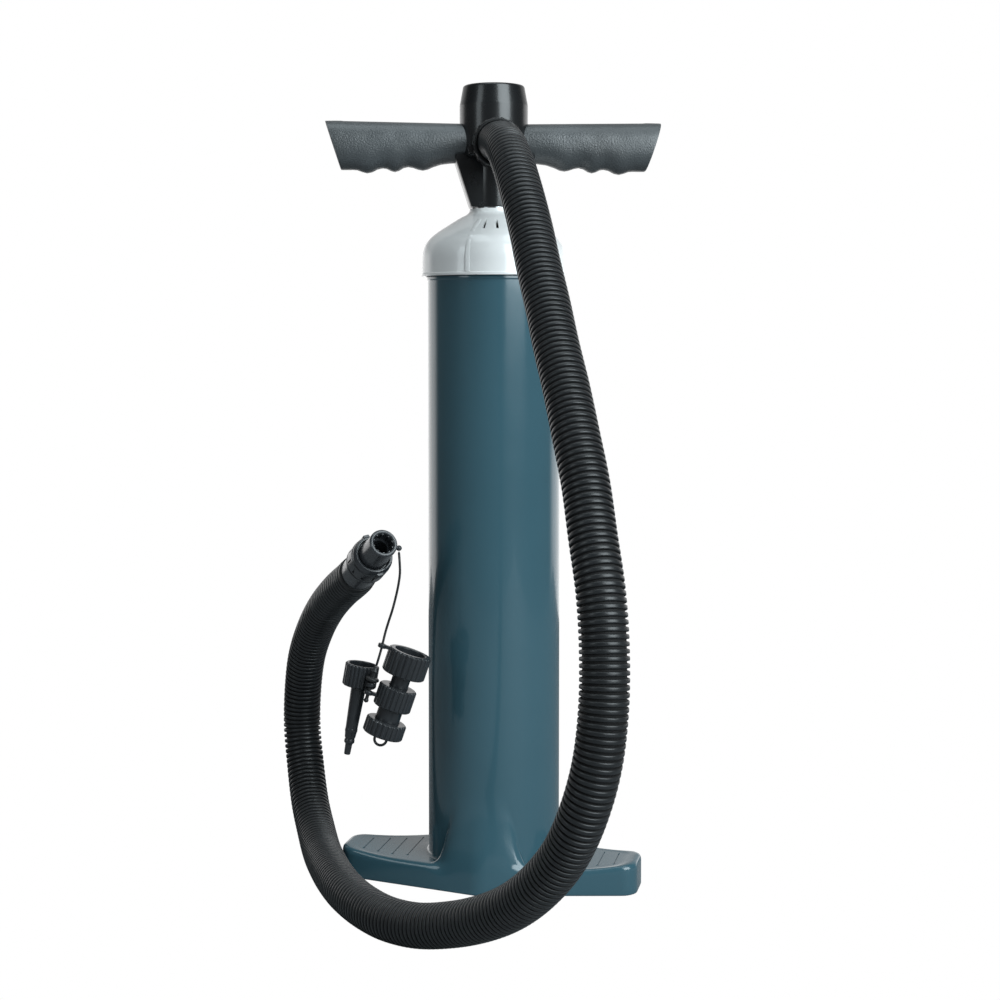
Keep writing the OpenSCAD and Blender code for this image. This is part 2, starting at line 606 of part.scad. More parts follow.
// Cuff moulded on the hose's end, with a barb inside it
module end_ring() color("#151617") on_hose_end() turned([[8.5, -9], [12.4, -9], [12.4, 0.1], [14.6, 0.1],
    [14.6, sleeve_at - 0.6], [14, sleeve_at], [8.5, sleeve_at]]);

module end_sleeve() color("#34373a") on_hose_end() turned([[8.5, sleeve_at], [13.5, sleeve_at],
    [13.5, collar_at], [11.4, collar_at], [11.4, spigot_at - 7], [8.5, spigot_at - 7]]);

module twist_collar() color("#2b2e31") on_hose_end() difference() {
    union() {
        turned([[11.4 + run, collar_at + 0.1], [collar_od / 2 - 0.8, collar_at + 0.1],
            [collar_od / 2, collar_at + 0.9], [collar_od / 2, spigot_at - 3.4],
            [collar_od / 2 - 1.6, spigot_at], [12.2, spigot_at], [12.2, spigot_at - 6.5],
            [11.4 + run, spigot_at - 6.5]]);
        for (a = [100, 280]) rotate([0, 0, a]) translate([collar_od / 2 - 1, -2.5, spigot_at - 9]) cube([2.4, 5, 7]);
    }
    around(12, collar_od / 2 + 0.3) translate([0, 0, collar_at + 5]) cylinder(r = 1.1, h = 8, $fn = 16);
}

module spigot() color("#34373a") on_hose_end() difference() {
    union() {
        turned([[0, spigot_at - 6.2], [12, spigot_at - 6.2], [12, spigot_at - 4], [spigot_root / 2, spigot_at - 4],
            [spigot_root / 2, spigot_at], [spigot_mouth / 2, mouth_at - 1], [spigot_mouth / 2 - 0.8, mouth_at],
            [0, mouth_at]]);
        rotate([0, 0, -12]) translate([0, 0, mouth_at - 4]) rotate([0, 90, 0]) cylinder(r = 1.6, h = 13.2);
        rotate([0, 0, -12]) translate([13.2, 0, mouth_at - 4]) sphere(r = 2.2, $fn = 24);
    }
    translate([0, 0, spigot_at - 8]) cylinder(d = spigot_bore, h = 40);
}

// ---- tether and adapters ----------------------------------------------------

module tether() color("#26282a") cord(tether_route, unit([0.04, 0.1, -1]),
    unit(tether_route[14] - tether_route[13]), tether_d / 2, 8);

module tether_toggle() color("#26282a") translate(toggle_top) rotate([0, 0, hang_turn])
    rotate([0, toggle_lean, 0]) union() {
        translate([0, 0, -4.2]) cylinder(r1 = 3, r2 = 1, h = 4);
        translate([0, 0, -9]) cylinder(r = 2, h = 5.2);
        translate([0, 0, -11]) cylinder(r = 5, h = 2.4);
        translate([0, 0, -24]) cylinder(r = 1.2, h = 14);
        translate([0, 0, -25.6]) sphere(r = 2, $fn = 24);
    }

// A ribbed cap about local Z, from z0 to z1
module ribbed_cap(d, z0, z1) {
    translate([0, 0, z0]) cylinder(d = d - 1.6, h = z1 - z0);
    translate([0, 0, z0 + 0.4]) linear_extrude(z1 - z0 - 0.8) polygon([for (i = [0 : cap_ribs - 1])
        for (k = [[-0.28, 0], [-0.2, 1], [0.2, 1], [0.28, 0]]) let (a = 360 * (i + k[0]) / cap_ribs)
            (d / 2 - 0.7 + 0.7 * k[1]) * [cos(a), sin(a)]]);
}

// A lug with an eye, reaching from a cap's side
module eye_lug(turn, from, to, z, thick, hole) rotate([0, 0, turn]) difference() {
    union() {
        translate([from, -2.2, z]) cube([to - from, 4.4, thick]);
        translate([to, 0, z]) cylinder(r = 3.2, h = thick);
    }
    translate([to, 0, z - 1]) cylinder(r = hole, h = thick + 2);
}

wide_z = 46.6;
middle_z = 21;
seal_height = 11.4;
wide_height = 17.8;
middle_height = 16.4;

module wide_adapter() color("#242628") hung(stack_foot, stack_lean) difference() {
    union() {
        ribbed_cap(wide_od, wide_z, wide_z + wide_height);
        translate([0, 0, middle_z + 6]) cylinder(r = 6.8, h = wide_z - middle_z - 5);
        eye_lug(190, wide_od / 2 - 2, wide_od / 2 + 5.2, wide_z + wide_height - 3.2, 3, 1.4);
    }
    translate([0, 0, wide_z + 4]) cylinder(r = spigot_root / 2 + 0.1, h = wide_height);
    translate([0, 0, middle_z]) cylinder(r = 4.6, h = wide_z);
}

module middle_adapter() color("#242628") hung(stack_foot, stack_lean) difference() {
    union() {
        ribbed_cap(middle_od, middle_z, middle_z + middle_height);
        translate([0, 0, 3.6]) cylinder(r = 9, h = middle_z - 2);
        eye_lug(196, middle_od / 2 - 2, middle_od / 2 + 6.1, middle_z + 5, 3, 1.5);
    }
    translate([0, 0, middle_z + 4]) cylinder(r = 6.8 + run, h = middle_height);
    translate([0, 0, 2]) cylinder(r = 6, h = middle_z + 4);
}

module sealing_adapter() color("#242628") hung(stack_foot, stack_lean) union() {
    difference() {
        ribbed_cap(seal_od, 0, seal_height);
        translate([0, 0, 3]) cylinder(r = 9 + run, h = seal_height);
    }
    translate([0, 0, -3.4]) rotate([90, 0, 0]) rotate_extrude() translate([4.4, 0]) circle(r = 1, $fn = 24);
}

module nozzle_adapter() color("#242628") hung(nozzle_foot, nozzle_lean) difference() {
    union() {
        turned([[0, 0], [1.8, 0], [2.2, 0.6], [2.5, 8], [3.8, 9.4], [3.8, 11], [3.4, 12.5], [3.9, 13], [4.3, 17],
            [4.3, 19], [4.6, 19.5], [5.5, 51.6], [0, 51.6]]);
        ribbed_cap(nozzle_od, 51.5, 68);
        eye_lug(-61.7, nozzle_od / 2 - 2, nozzle_od / 2 + 6.35, 56, 3, 1.5);
    }
    translate([0, 0, 55.5]) cylinder(r = spigot_mouth / 2 + 0.6, h = 20);
    translate([0, 0, -1]) cylinder(r = 1.3, h = 60);
}

barrel();
intake_disc();
intake_stud();
cylinder_head();
head_seal();
head_ring_valve();
head_keeper();
cap();
guide_bush();
bush_seal();
rod_seal();
rod();
piston_body();
piston_crown();
piston_seal();
lower_valve_disc();
lower_valve_keeper();
upper_valve_ring();
upper_valve_keeper();
piston_screws();
rod_pin();
bumper();
hub();
left_grip();
right_grip();
grip_screws();
port_seal();
hose_cuff();
port_nut();
hose();
end_ring();
end_sleeve();
twist_collar();
spigot();
tether();
tether_toggle();
wide_adapter();
middle_adapter();
sealing_adapter();
nozzle_adapter();
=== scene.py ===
import math
import bmesh
import bpy
from mathutils import Matrix, Vector


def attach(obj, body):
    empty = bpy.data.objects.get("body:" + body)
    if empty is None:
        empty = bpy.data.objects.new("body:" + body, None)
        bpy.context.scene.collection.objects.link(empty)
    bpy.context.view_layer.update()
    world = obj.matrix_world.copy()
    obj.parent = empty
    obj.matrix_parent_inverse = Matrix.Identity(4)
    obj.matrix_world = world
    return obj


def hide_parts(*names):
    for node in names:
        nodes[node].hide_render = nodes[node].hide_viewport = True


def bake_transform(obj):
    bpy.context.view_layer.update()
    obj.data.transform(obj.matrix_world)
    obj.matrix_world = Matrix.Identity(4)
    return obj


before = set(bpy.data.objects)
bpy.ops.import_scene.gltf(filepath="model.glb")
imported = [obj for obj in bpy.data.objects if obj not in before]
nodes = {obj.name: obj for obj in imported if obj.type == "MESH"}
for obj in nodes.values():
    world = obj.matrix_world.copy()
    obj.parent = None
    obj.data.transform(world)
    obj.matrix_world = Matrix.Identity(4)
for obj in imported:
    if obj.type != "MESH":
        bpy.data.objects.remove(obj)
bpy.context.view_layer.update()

MM = 0.001

# ---- Studio -----------------------------------------------------------------
# A pale table and a white wall behind it, with a darker room on the viewer's
# side, so that gloss plastic shows a bright edge at its back and a calm front.
# One large soft lamp hangs to the right of the viewer, a weaker one to the left.
FACING = math.radians(9.0)          # the viewer stands 9 degrees round from the front
TABLE_HALF, TABLE_DROP = 1.2, 0.0004    # metres; the table lies a hair below the foot
LAMP_COLOUR = (0.86, 0.96, 1.0)


def node_tree(name):
    """An empty node material: its tree, its surface shader and its name."""
    material = bpy.data.materials.new(name)
    material.use_nodes = True
    tree = material.node_tree
    shader = tree.nodes["Principled BSDF"]
    return material, tree, shader


table_stuff, tree, shader = node_tree("table_grey")
shader.inputs["Base Color"].default_value = (0.30, 0.31, 0.32, 1)
shader.inputs["Roughness"].default_value = 0.75
shader.inputs["Specular IOR Level"].default_value = 0.2
speckle = tree.nodes.new("ShaderNodeTexNoise")
speckle.inputs["Scale"].default_value = 40
table_dents = tree.nodes.new("ShaderNodeBump")
table_dents.inputs["Strength"].default_value = 0.02
tree.links.new(speckle.outputs["Fac"], table_dents.inputs["Height"])
tree.links.new(table_dents.outputs["Normal"], shader.inputs["Normal"])
table_mesh = bpy.data.meshes.new("table")
table_corners = [(x * TABLE_HALF, y * TABLE_HALF, -TABLE_DROP)
                 for x, y in ((-1, -1), (1, -1), (1, 1), (-1, 1))]
table_mesh.from_pydata(table_corners, [], [(0, 1, 2, 3)])
table = bpy.data.objects.new("table", table_mesh)
table_mesh.materials.append(table_stuff)
bpy.context.scene.collection.objects.link(table)
table.visible_camera = False        # it lights the pump from below but leaves a plain white surround

# The room: white behind the pump, dim on the viewer's side, plain white to the eye
room = bpy.data.worlds.new("room")
bpy.context.scene.world = room
room.use_nodes = True
tree = room.node_tree
tree.nodes.clear()
direction = tree.nodes.new("ShaderNodeTexCoord")
turn = tree.nodes.new("ShaderNodeMapping")
turn.inputs["Rotation"].default_value = (0, 0, -FACING)
split = tree.nodes.new("ShaderNodeSeparateXYZ")
wall_edge = tree.nodes.new("ShaderNodeMapRange")
wall_edge.interpolation_type = "SMOOTHSTEP"
wall_edge.inputs["From Min"].default_value = 0.38
wall_edge.inputs["From Max"].default_value = 0.62
wall_edge.inputs["To Min"].default_value = 0.10
wall_edge.inputs["To Max"].default_value = 1.3
wall_top = tree.nodes.new("ShaderNodeMapRange")
wall_top.interpolation_type = "SMOOTHSTEP"
wall_top.inputs["From Min"].default_value = 0.06
wall_top.inputs["From Max"].default_value = 0.28
wall_top.inputs["To Min"].default_value = 1.0
wall_top.inputs["To Max"].default_value = 0.38
wall_light = tree.nodes.new("ShaderNodeMath")
wall_light.operation = "MULTIPLY"
seen = tree.nodes.new("ShaderNodeLightPath")
seen_white = tree.nodes.new("ShaderNodeMix")
seen_white.inputs["B"].default_value = 1.0
room_light = tree.nodes.new("ShaderNodeBackground")
room_light.inputs["Color"].default_value = (1, 1, 1, 1)
room_out = tree.nodes.new("ShaderNodeOutputWorld")
tree.links.new(direction.outputs["Generated"], turn.inputs["Vector"])
tree.links.new(turn.outputs["Vector"], split.inputs["Vector"])
tree.links.new(split.outputs["Y"], wall_edge.inputs["Value"])
tree.links.new(split.outputs["Z"], wall_top.inputs["Value"])
tree.links.new(wall_edge.outputs["Result"], wall_light.inputs[0])
tree.links.new(wall_top.outputs["Result"], wall_light.inputs[1])
tree.links.new(wall_light.outputs["Value"], seen_white.inputs["A"])
tree.links.new(seen.outputs["Is Camera Ray"], seen_white.inputs["Factor"])
tree.links.new(seen_white.outputs["Result"], room_light.inputs["Strength"])
tree.links.new(room_light.outputs["Background"], room_out.inputs["Surface"])
bpy.context.scene.view_settings.view_transform = "Standard"


def soft_lamp(name, place, aim, width, height, watts):
    """A soft box at place, facing aim."""
    data = bpy.data.lights.new(name, "AREA")
    data.shape, data.size, data.size_y = "RECTANGLE", width, height
    data.energy, data.color = watts, LAMP_COLOUR
    lamp = bpy.data.objects.new(name, data)
    bpy.context.scene.collection.objects.link(lamp)
    lamp.location = place
    lamp.rotation_euler = (Vector(aim) - Vector(place)).to_track_quat("-Z", "Y").to_euler()
    return lamp


turned_by_view = Matrix.Rotation(FACING, 3, "Z")
soft_lamp("soft_box_right", turned_by_view @ Vector((1.35, -1.75, 1.3)), (0, 0, 0.32), 1.6, 2.1, 68)
soft_lamp("soft_box_left", turned_by_view @ Vector((-1.5, -1.2, 1.1)), (0, 0, 0.3), 0.6, 1.2, 5)
soft_lamp("top_light", turned_by_view @ Vector((0, -0.3, 2.3)), (0, 0, 0.3), 1.6, 1.2, 12)

lens_mm, sensor_mm = 63.58, 36.0
camera_data = bpy.data.cameras.new("camera")
camera_data.lens, camera_data.sensor_width = lens_mm, sensor_mm
camera_data.shift_y = -0.08
camera_data.clip_start, camera_data.clip_end = 0.05, 30
camera = bpy.data.objects.new("camera", camera_data)
bpy.context.scene.collection.objects.link(camera)
bpy.context.scene.camera = camera
camera.location = turned_by_view @ Vector((0.0019, -1.34255, 0.41779))
camera.rotation_euler = (math.radians(90 - 2.893), 0, FACING - 0.00207)

# ---- Hose -------------------------------------------------------------------
# Corrugated delivery hose: black polyethylene, blown in rings 4.1 mm apart with
# flat crests and narrow grooves. It is stiff enough to stand in its own curve
# off the hub, round over the floor and up again to the hose's end.
HOSE_ROUTE = [(10.1, -43.6, 555), (20, -76, 550), (30, -104, 534), (40, -129, 511), (49, -150, 486),
              (57, -171, 461), (66, -192, 434), (74, -212, 408), (83, -232, 381), (91, -251, 354),
              (99, -268, 325), (105, -283, 295), (111, -296, 264), (114, -304, 231), (114, -308, 197),
              (110, -307, 163), (101, -300, 131), (88, -286, 102), (70, -269, 77), (50, -249, 57),
              (28, -229, 42), (4, -208, 30), (-22, -187, 21), (-47, -164, 16.5), (-69, -138, 15),
              (-89, -109, 15), (-105, -79, 15), (-119, -48, 15), (-132, -17, 16.5), (-144, 12, 24),
              (-156, 38, 40), (-165, 58, 65), (-170, 67, 95), (-168, 63, 127), (-161, 50, 156),
              (-149, 32, 181), (-134, 10, 202), (-117, -14, 219), (-99, -37.7, 233.7)]
HOSE_CREST, HOSE_VALLEY, RING_PITCH = 15.0, 13.25, 4.1
PORT_TURN, END_TURN, END_RISE = math.radians(13), math.radians(33.4), math.radians(27.9)
PORT_WAY = Vector((math.sin(PORT_TURN), -math.cos(PORT_TURN), 0))
END_WAY = Vector((math.cos(END_RISE) * math.sin(END_TURN), -math.cos(END_RISE) * math.cos(END_TURN),
                  math.sin(END_RISE)))


def smooth_route(points, first, last, step):
    """Evenly spaced points and headings on a smooth line that leaves along first and arrives along last."""
    points = [Vector(p) for p in points]
    spans = [(b - a).length for a, b in zip(points, points[1:])]
    slopes = [first.normalized()]
    for i in range(1, len(points) - 1):
        before, after = (points[i] - points[i - 1]) / spans[i - 1], (points[i + 1] - points[i]) / spans[i]
        slopes.append((before * spans[i] + after * spans[i - 1]) / (spans[i] + spans[i - 1]))
    slopes.append(last.normalized())
    fine = []
    for i, span in enumerate(spans):
        count = 48
        for k in range(count + (i == len(spans) - 1)):
            t = k / count
            fine.append(points[i] * (2 * t**3 - 3 * t**2 + 1) + slopes[i] * span * (t**3 - 2 * t**2 + t)
                        + points[i + 1] * (3 * t**2 - 2 * t**3) + slopes[i + 1] * span * (t**3 - t**2))
    reach = [0.0]
    for a, b in zip(fine, fine[1:]):
        reach.append(reach[-1] + (b - a).length)
    count = max(2, round(reach[-1] / step))
    even, k = [], 0
    for n in range(count + 1):
        s = reach[-1] * n / count
        while k < len(reach) - 2 and reach[k + 1] < s:
            k += 1
        t = (s - reach[k]) / max(reach[k + 1] - reach[k], 1e-9)
        even.append(fine[k].lerp(fine[k + 1], min(1, max(0, t))))
    between = [(b - a).normalized() for a, b in zip(even, even[2:])]
    ways = [first.normalized()] + between + [last.normalized()]
    return even, ways, reach[-1]


def carried_sides(ways):
    """For each heading a side direction, carried along without twisting."""
    side = Vector((1, 0, 0.01))
    sides = []
    for way in ways:
        side = (side - way * side.dot(way)).normalized()
        sides.append(side.copy())
    return sides


def mesh_piece(name, corners, faces, body, node=None, slot=None, material=None, crease=35.0):
    """A piece in millimetres from corners and faces, smooth but for its sharp edges, riding on a body."""
    mesh = bpy.data.meshes.new(name)
    mesh.from_pydata([Vector(c) * MM for c in corners], [], faces)
    mesh.validate()
    work = bmesh.new()
    work.from_mesh(mesh)
    bmesh.ops.recalc_face_normals(work, faces=work.faces)
    work.to_mesh(mesh)
    work.free()
    mesh.shade_smooth()
    mesh.set_sharp_from_angle(angle=math.radians(crease))
    piece = bpy.data.objects.new(name, mesh)
    bpy.context.scene.collection.objects.link(piece)
    if material:
        mesh.materials.append(material)
    if body:
        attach(piece, body)
    if node:
        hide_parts(*([node] if isinstance(node, str) else node))
    return piece


def swept(route, radii, sides_count, closed=False):
    """Corners and faces of a tube, with a ring of its radius at each (point, heading, side)."""
    corners, faces = [], []
    for (point, way, side), radius in zip(route, radii):
        up = way.cross(side)
        for i in range(sides_count):
            a = 2 * math.pi * i / sides_count
            corners.append(point + (side * math.cos(a) + up * math.sin(a)) * radius)
    rings = len(corners) // sides_count
    for k in range(rings if closed else rings - 1):
        m = (k + 1) % rings
        for i in range(sides_count):
            j = (i + 1) % sides_count
            faces.append((k * sides_count + i, k * sides_count + j, m * sides_count + j,
                          m * sides_count + i))
    return corners, faces


def moulded(name, colour, rough, grain=0.0, grain_size=900.0, mottle=0.12, coat=0.0, coat_rough=0.08,
            painted_top_light=0.0):
    """Moulded plastic: its colour drifts a little, its gloss is uneven, and a fine grain or long
    soft waves break its shine. Faces that point up are mixed towards pale grey: painted top light."""
    material, tree, shader = node_tree(name)
    make, link = tree.nodes.new, tree.links.new
    place = make("ShaderNodeTexCoord")
    cloud = make("ShaderNodeTexNoise")
    cloud.inputs["Scale"].default_value = 14
    cloud.inputs["Detail"].default_value = 5
    link(place.outputs["Object"], cloud.inputs["Vector"])
    ramp = make("ShaderNodeMapRange")
    ramp.inputs["From Min"].default_value, ramp.inputs["From Max"].default_value = 0.3, 0.7
    ramp.inputs["To Min"].default_value, ramp.inputs["To Max"].default_value = 1 - mottle, 1 + mottle
    link(cloud.outputs["Fac"], ramp.inputs["Value"])
    tint = make("ShaderNodeVectorMath")
    tint.operation = "SCALE"
    tint.inputs[0].default_value = colour
    link(ramp.outputs["Result"], tint.inputs["Scale"])
    paint = tint.outputs["Vector"]
    if painted_top_light:
        # painted top light: the more a face points up, the more its colour is mixed towards pale grey
        facing = make("ShaderNodeNewGeometry")
        updown = make("ShaderNodeSeparateXYZ")
        link(facing.outputs["Normal"], updown.inputs["Vector"])
        painted_light_mask = make("ShaderNodeMapRange")
        painted_light_mask.inputs["From Min"].default_value, painted_light_mask.inputs["From Max"].default_value = 0.5, 1.0
        painted_light_mask.inputs["To Max"].default_value = painted_top_light
        link(updown.outputs["Z"], painted_light_mask.inputs["Value"])
        painted_light_mix = make("ShaderNodeMix")
        painted_light_mix.data_type = "RGBA"
        painted_light_mix.inputs["B"].default_value = (0.42, 0.42, 0.41, 1)
        link(painted_light_mask.outputs["Result"], painted_light_mix.inputs["Factor"])
        link(paint, painted_light_mix.inputs["A"])
        paint = painted_light_mix.outputs["Result"]
    link(paint, shader.inputs["Base Color"])
    smear = make("ShaderNodeTexNoise")
    smear.inputs["Scale"].default_value = 45
    smear.inputs["Detail"].default_value = 3
    link(place.outputs["Object"], smear.inputs["Vector"])
    sheen = make("ShaderNodeMapRange")
    sheen.inputs["To Min"].default_value = rough * 0.8
    sheen.inputs["To Max"].default_value = min(1, rough * 1.2)
    link(smear.outputs["Fac"], sheen.inputs["Value"])
    link(sheen.outputs["Result"], shader.inputs["Roughness"])
    pits = make("ShaderNodeTexNoise")
    pits.inputs["Scale"].default_value = grain_size
    pits.inputs["Detail"].default_value = 2
    link(place.outputs["Object"], pits.inputs["Vector"])
    relief = make("ShaderNodeBump")
    relief.inputs["Strength"].default_value = grain
    relief.inputs["Distance"].default_value = 0.0004
    link(pits.outputs["Fac"], relief.inputs["Height"])
    link(relief.outputs["Normal"], shader.inputs["Normal"])
    shader.inputs["Coat Weight"].default_value = coat
    shader.inputs["Coat Roughness"].default_value = coat_rough
    return material


hose_plastic = moulded("hose_plastic", (0.0130, 0.0148, 0.0165), 0.36, grain=0.06, grain_size=1500,
                       mottle=0.2, painted_top_light=0.05)
points, ways, hose_length = smooth_route(HOSE_ROUTE, PORT_WAY, END_WAY, RING_PITCH / 10)
sides = carried_sides(ways)
# one ring's outline, as (share of the pitch, radius): groove, flank, rounded flat crest, flank
ring_outline = [(0.0, HOSE_VALLEY), (0.24, HOSE_VALLEY), (0.33, HOSE_CREST - 0.45),
                (0.40, HOSE_CREST - 0.08), (0.52, HOSE_CREST), (0.75, HOSE_CREST),
                (0.87, HOSE_CREST - 0.08), (0.94, HOSE_CREST - 0.45)]
ring_count = int(hose_length / RING_PITCH)
pitch = hose_length / ring_count
stations, radii = [], []
for ring in range(ring_count):
    deep = min(1, max(0.35, (ring - 4) / 14),
               max(0.35, (ring_count - 6 - ring) / 30))     # shallower near both ends
    for share, radius in ring_outline:
        radius = HOSE_CREST - (HOSE_CREST - radius) * deep
        at = (ring + share) * pitch / hose_length * (len(points) - 1)
        k = min(int(at), len(points) - 2)
        t = at - k
        stations.append((points[k].lerp(points[k + 1], t), ways[k].lerp(ways[k + 1], t).normalized(),
                         sides[k].lerp(sides[k + 1], t).normalized()))
        radii.append(radius)
stations.append((points[-1], ways[-1], sides[-1]))
radii.append(HOSE_VALLEY)
bore_steps = range(len(points) - 1, -1, -20)
stations += [(points[k], ways[k], sides[k]) for k in bore_steps]
radii += [12.6] * len(bore_steps)
corners, faces = swept(stations, radii, 36, closed=True)
hose = mesh_piece("hose", corners, faces, None, "hose", "hose", hose_plastic, crease=60)
groove_shade = moulded("groove_shade", (0.0035, 0.0035, 0.004), 0.75, grain=0.02, mottle=0.3)
hose.data.materials.append(groove_shade)                # grooves: unpolished, and darkened with painted shade
# painted shade: the groove floors and flanks, away from both ends, get the near-black material
for face in hose.data.polygons:
    ring, step = divmod(face.index // 36, len(ring_outline))
    face.material_index = int(step in (0, 1, 7) and 11 < ring < ring_count - 16)
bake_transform(hose)

# ---- Hose end: ring and sleeve ----------------------------------------------
# Two short plain tubes closing the hose: a black rubbery ring over the hose's
# mouth and a satin sleeve that carries the twist collar. Pressed together.
RING_OUT, SLEEVE_OUT, SLEEVE_AT, COLLAR_AT, SPIGOT_AT, MOUTH_AT = 14.6, 13.5, 6.0, 24.2, 45.0, 66.0
ON_END = (Matrix.Translation(HOSE_ROUTE[-1]) @ Matrix.Rotation(END_TURN, 4, "Z")
          @ Matrix.Rotation(math.pi / 2 - END_RISE, 4, "X"))


def eased(outline, steps=5):
    """A closed outline of (x, y, radius) corners with each corner rounded to its radius."""
    made, count = [], len(outline)
    for i, (x, y, radius) in enumerate(outline):
        here = Vector((x, y))
        to_last = Vector(outline[i - 1][:2]) - here
        to_next = Vector(outline[(i + 1) % count][:2]) - here
        a, b = to_last.normalized(), to_next.normalized()
        half = math.acos(max(-1, min(1, a.dot(b)))) / 2
        if radius <= 0 or half > math.radians(88) or half < 0.01:
            made.append((x, y))
            continue
        reach = min(radius / math.tan(half), 0.48 * to_last.length, 0.48 * to_next.length)
        centre = here + (a + b).normalized() * reach / math.cos(half)
        start, end = here + a * reach - centre, here + b * reach - centre
        sweep = math.atan2(start.x * end.y - start.y * end.x, start.dot(end))
        for k in range(steps + 1):
            t = sweep * k / steps
            made.append((centre.x + start.x * math.cos(t) - start.y * math.sin(t),
                         centre.y + start.x * math.sin(t) + start.y * math.cos(t)))
    return made


def lathed(outline, steps=96, place=Matrix.Identity(4), flutes=0, depth=0.0, beyond=0.0, share=0.4):
    """Corners and faces of a closed (radius, height) outline spun round its axis, with upright
    grooves in what lies beyond a radius."""
    corners, faces, count = [], [], len(outline)
    for j in range(steps):
        a = 2 * math.pi * j / steps
        dip = 0.0
        if flutes:
            off_middle = abs((j * flutes / steps) % 1.0 - 0.5)
            dip = min(1.0, max(0.0, (share / 2 - off_middle) / 0.09 + 0.5))
        for radius, height in outline:
            r = radius - depth * dip * (radius > beyond)
            corners.append(place @ Vector((r * math.cos(a), r * math.sin(a), height)))
    for j in range(steps):
        k = (j + 1) % steps
        for i in range(count):
            m = (i + 1) % count
            if outline[i][0] > 1e-6 or outline[m][0] > 1e-6:
                faces.append((j * count + i, k * count + i, k * count + m, j * count + m))
    return corners, faces


def box_of(low, high, place=Matrix.Identity(4)):
    """Corners and faces of a block, to cut with or to add as a rib."""
    corners = [place @ Vector((x, y, z)) for x in (low[0], high[0]) for y in (low[1], high[1])
               for z in (low[2], high[2])]
    return corners, [(0, 1, 3, 2), (4, 6, 7, 5), (0, 4, 5, 1), (2, 3, 7, 6), (0, 2, 6, 4), (1, 5, 7, 3)]


def together(*parts):
    """Several (corners, faces) as one."""
    corners, faces = [], []
    for some_corners, some_faces in parts:
        shift = len(corners)
        corners += list(some_corners)
        faces += [tuple(i + shift for i in face) for face in some_faces]
    return corners, faces


def carve(piece, parts, crease=35.0):
    """Cuts the parts out of a piece as real geometry."""
    tool = mesh_piece(piece.name + "_tool", *together(*parts), None)
    change = piece.modifiers.new("carve", "BOOLEAN")
    change.operation, change.solver, change.object, change.use_self = "DIFFERENCE", "EXACT", tool, True
    bpy.context.view_layer.update()
    carved = bpy.data.meshes.new_from_object(piece.evaluated_get(bpy.context.evaluated_depsgraph_get()))
    piece.modifiers.remove(change)
    piece.data = carved
    bpy.data.objects.remove(tool)
    carved.shade_smooth()
    carved.set_sharp_from_angle(angle=math.radians(crease))


ring_rubber = moulded("ring_rubber", (0.007, 0.0075, 0.008), 0.45, grain=0.05, grain_size=1400, painted_top_light=0.03)
ring_line = eased([(8.5, -9, 0), (12.4, -9, 0.3), (12.4, 0.1, 0), (14.0, 0.1, 0.4), (RING_OUT, 0.9, 0.5),
                   (RING_OUT, 5.2, 0.5), (13.9, SLEEVE_AT, 0.4), (8.5, SLEEVE_AT, 0)])
end_ring = mesh_piece("end_ring", *lathed(ring_line, 96, ON_END), "turning", "end_ring", "fitting",
                      ring_rubber)
fitting_plastic = moulded("fitting_plastic", (0.048, 0.052, 0.058), 0.26, grain=0.04, grain_size=700,
                          mottle=0.15, coat=0.3, coat_rough=0.15, painted_top_light=0.03)
sleeve_line = eased([(8.5, SLEEVE_AT, 0), (13.1, SLEEVE_AT, 0.3), (SLEEVE_OUT, 6.6, 0.4),
                     (SLEEVE_OUT, 21.6, 0.3), (SLEEVE_OUT + 0.5, 22.2, 0.3), (SLEEVE_OUT + 0.5, 23.4, 0.3),
                     (13.3, COLLAR_AT, 0.2), (11.4, COLLAR_AT, 0), (11.4, SPIGOT_AT - 7, 0),
                     (8.5, SPIGOT_AT - 7, 0)])
end_sleeve = mesh_piece("end_sleeve", *lathed(sleeve_line, 96, ON_END), "turning", "end_sleeve", "fitting",
                        fitting_plastic)

# ---- Twist collar -----------------------------------------------------------
# Satin black ring that turns on the sleeve: twelve small notches for the fingers,
# a double line at its back, a bright bevel in front and two locking bumps.
COLLAR_OUT = 15.5
collar_plastic = moulded("collar_plastic", (0.034, 0.037, 0.042), 0.27, grain=0.08, grain_size=800,
                         mottle=0.2, coat=0.3, coat_rough=0.12, painted_top_light=0.04)
collar_line = eased([(11.45, COLLAR_AT + 0.1, 0), (14.7, COLLAR_AT + 0.1, 0.3), (COLLAR_OUT, 25, 0.4),
                     (COLLAR_OUT, 26.3, 0.3), (14.7, 26.8, 0.2), (14.7, 27.5, 0.2), (COLLAR_OUT, 28, 0.3),
                     (COLLAR_OUT, 38.4, 0.4), (14.6, 39.1, 0.2), (14.6, 39.9, 0.2), (15.3, 40.4, 0.4),
                     (15.1, 41.8, 0.8), (13.9, SPIGOT_AT, 0.5), (12.4, SPIGOT_AT, 0.3), (12.2, 44.4, 0),
                     (12.2, SPIGOT_AT - 6.5, 0), (11.45, SPIGOT_AT - 6.5, 0)])
twist_collar = mesh_piece("twist_collar", *lathed(collar_line, 144, ON_END), "collar", "twist_collar",
                          "collar", collar_plastic)
notches = []
for n in range(12):
    spin = ON_END @ Matrix.Rotation(math.radians(30 * n), 4, "Z")
    notches.append(box_of((COLLAR_OUT - 0.8, -0.75, 29.5), (COLLAR_OUT + 1, 0.75, 36.5), spin))
carve(twist_collar, notches)
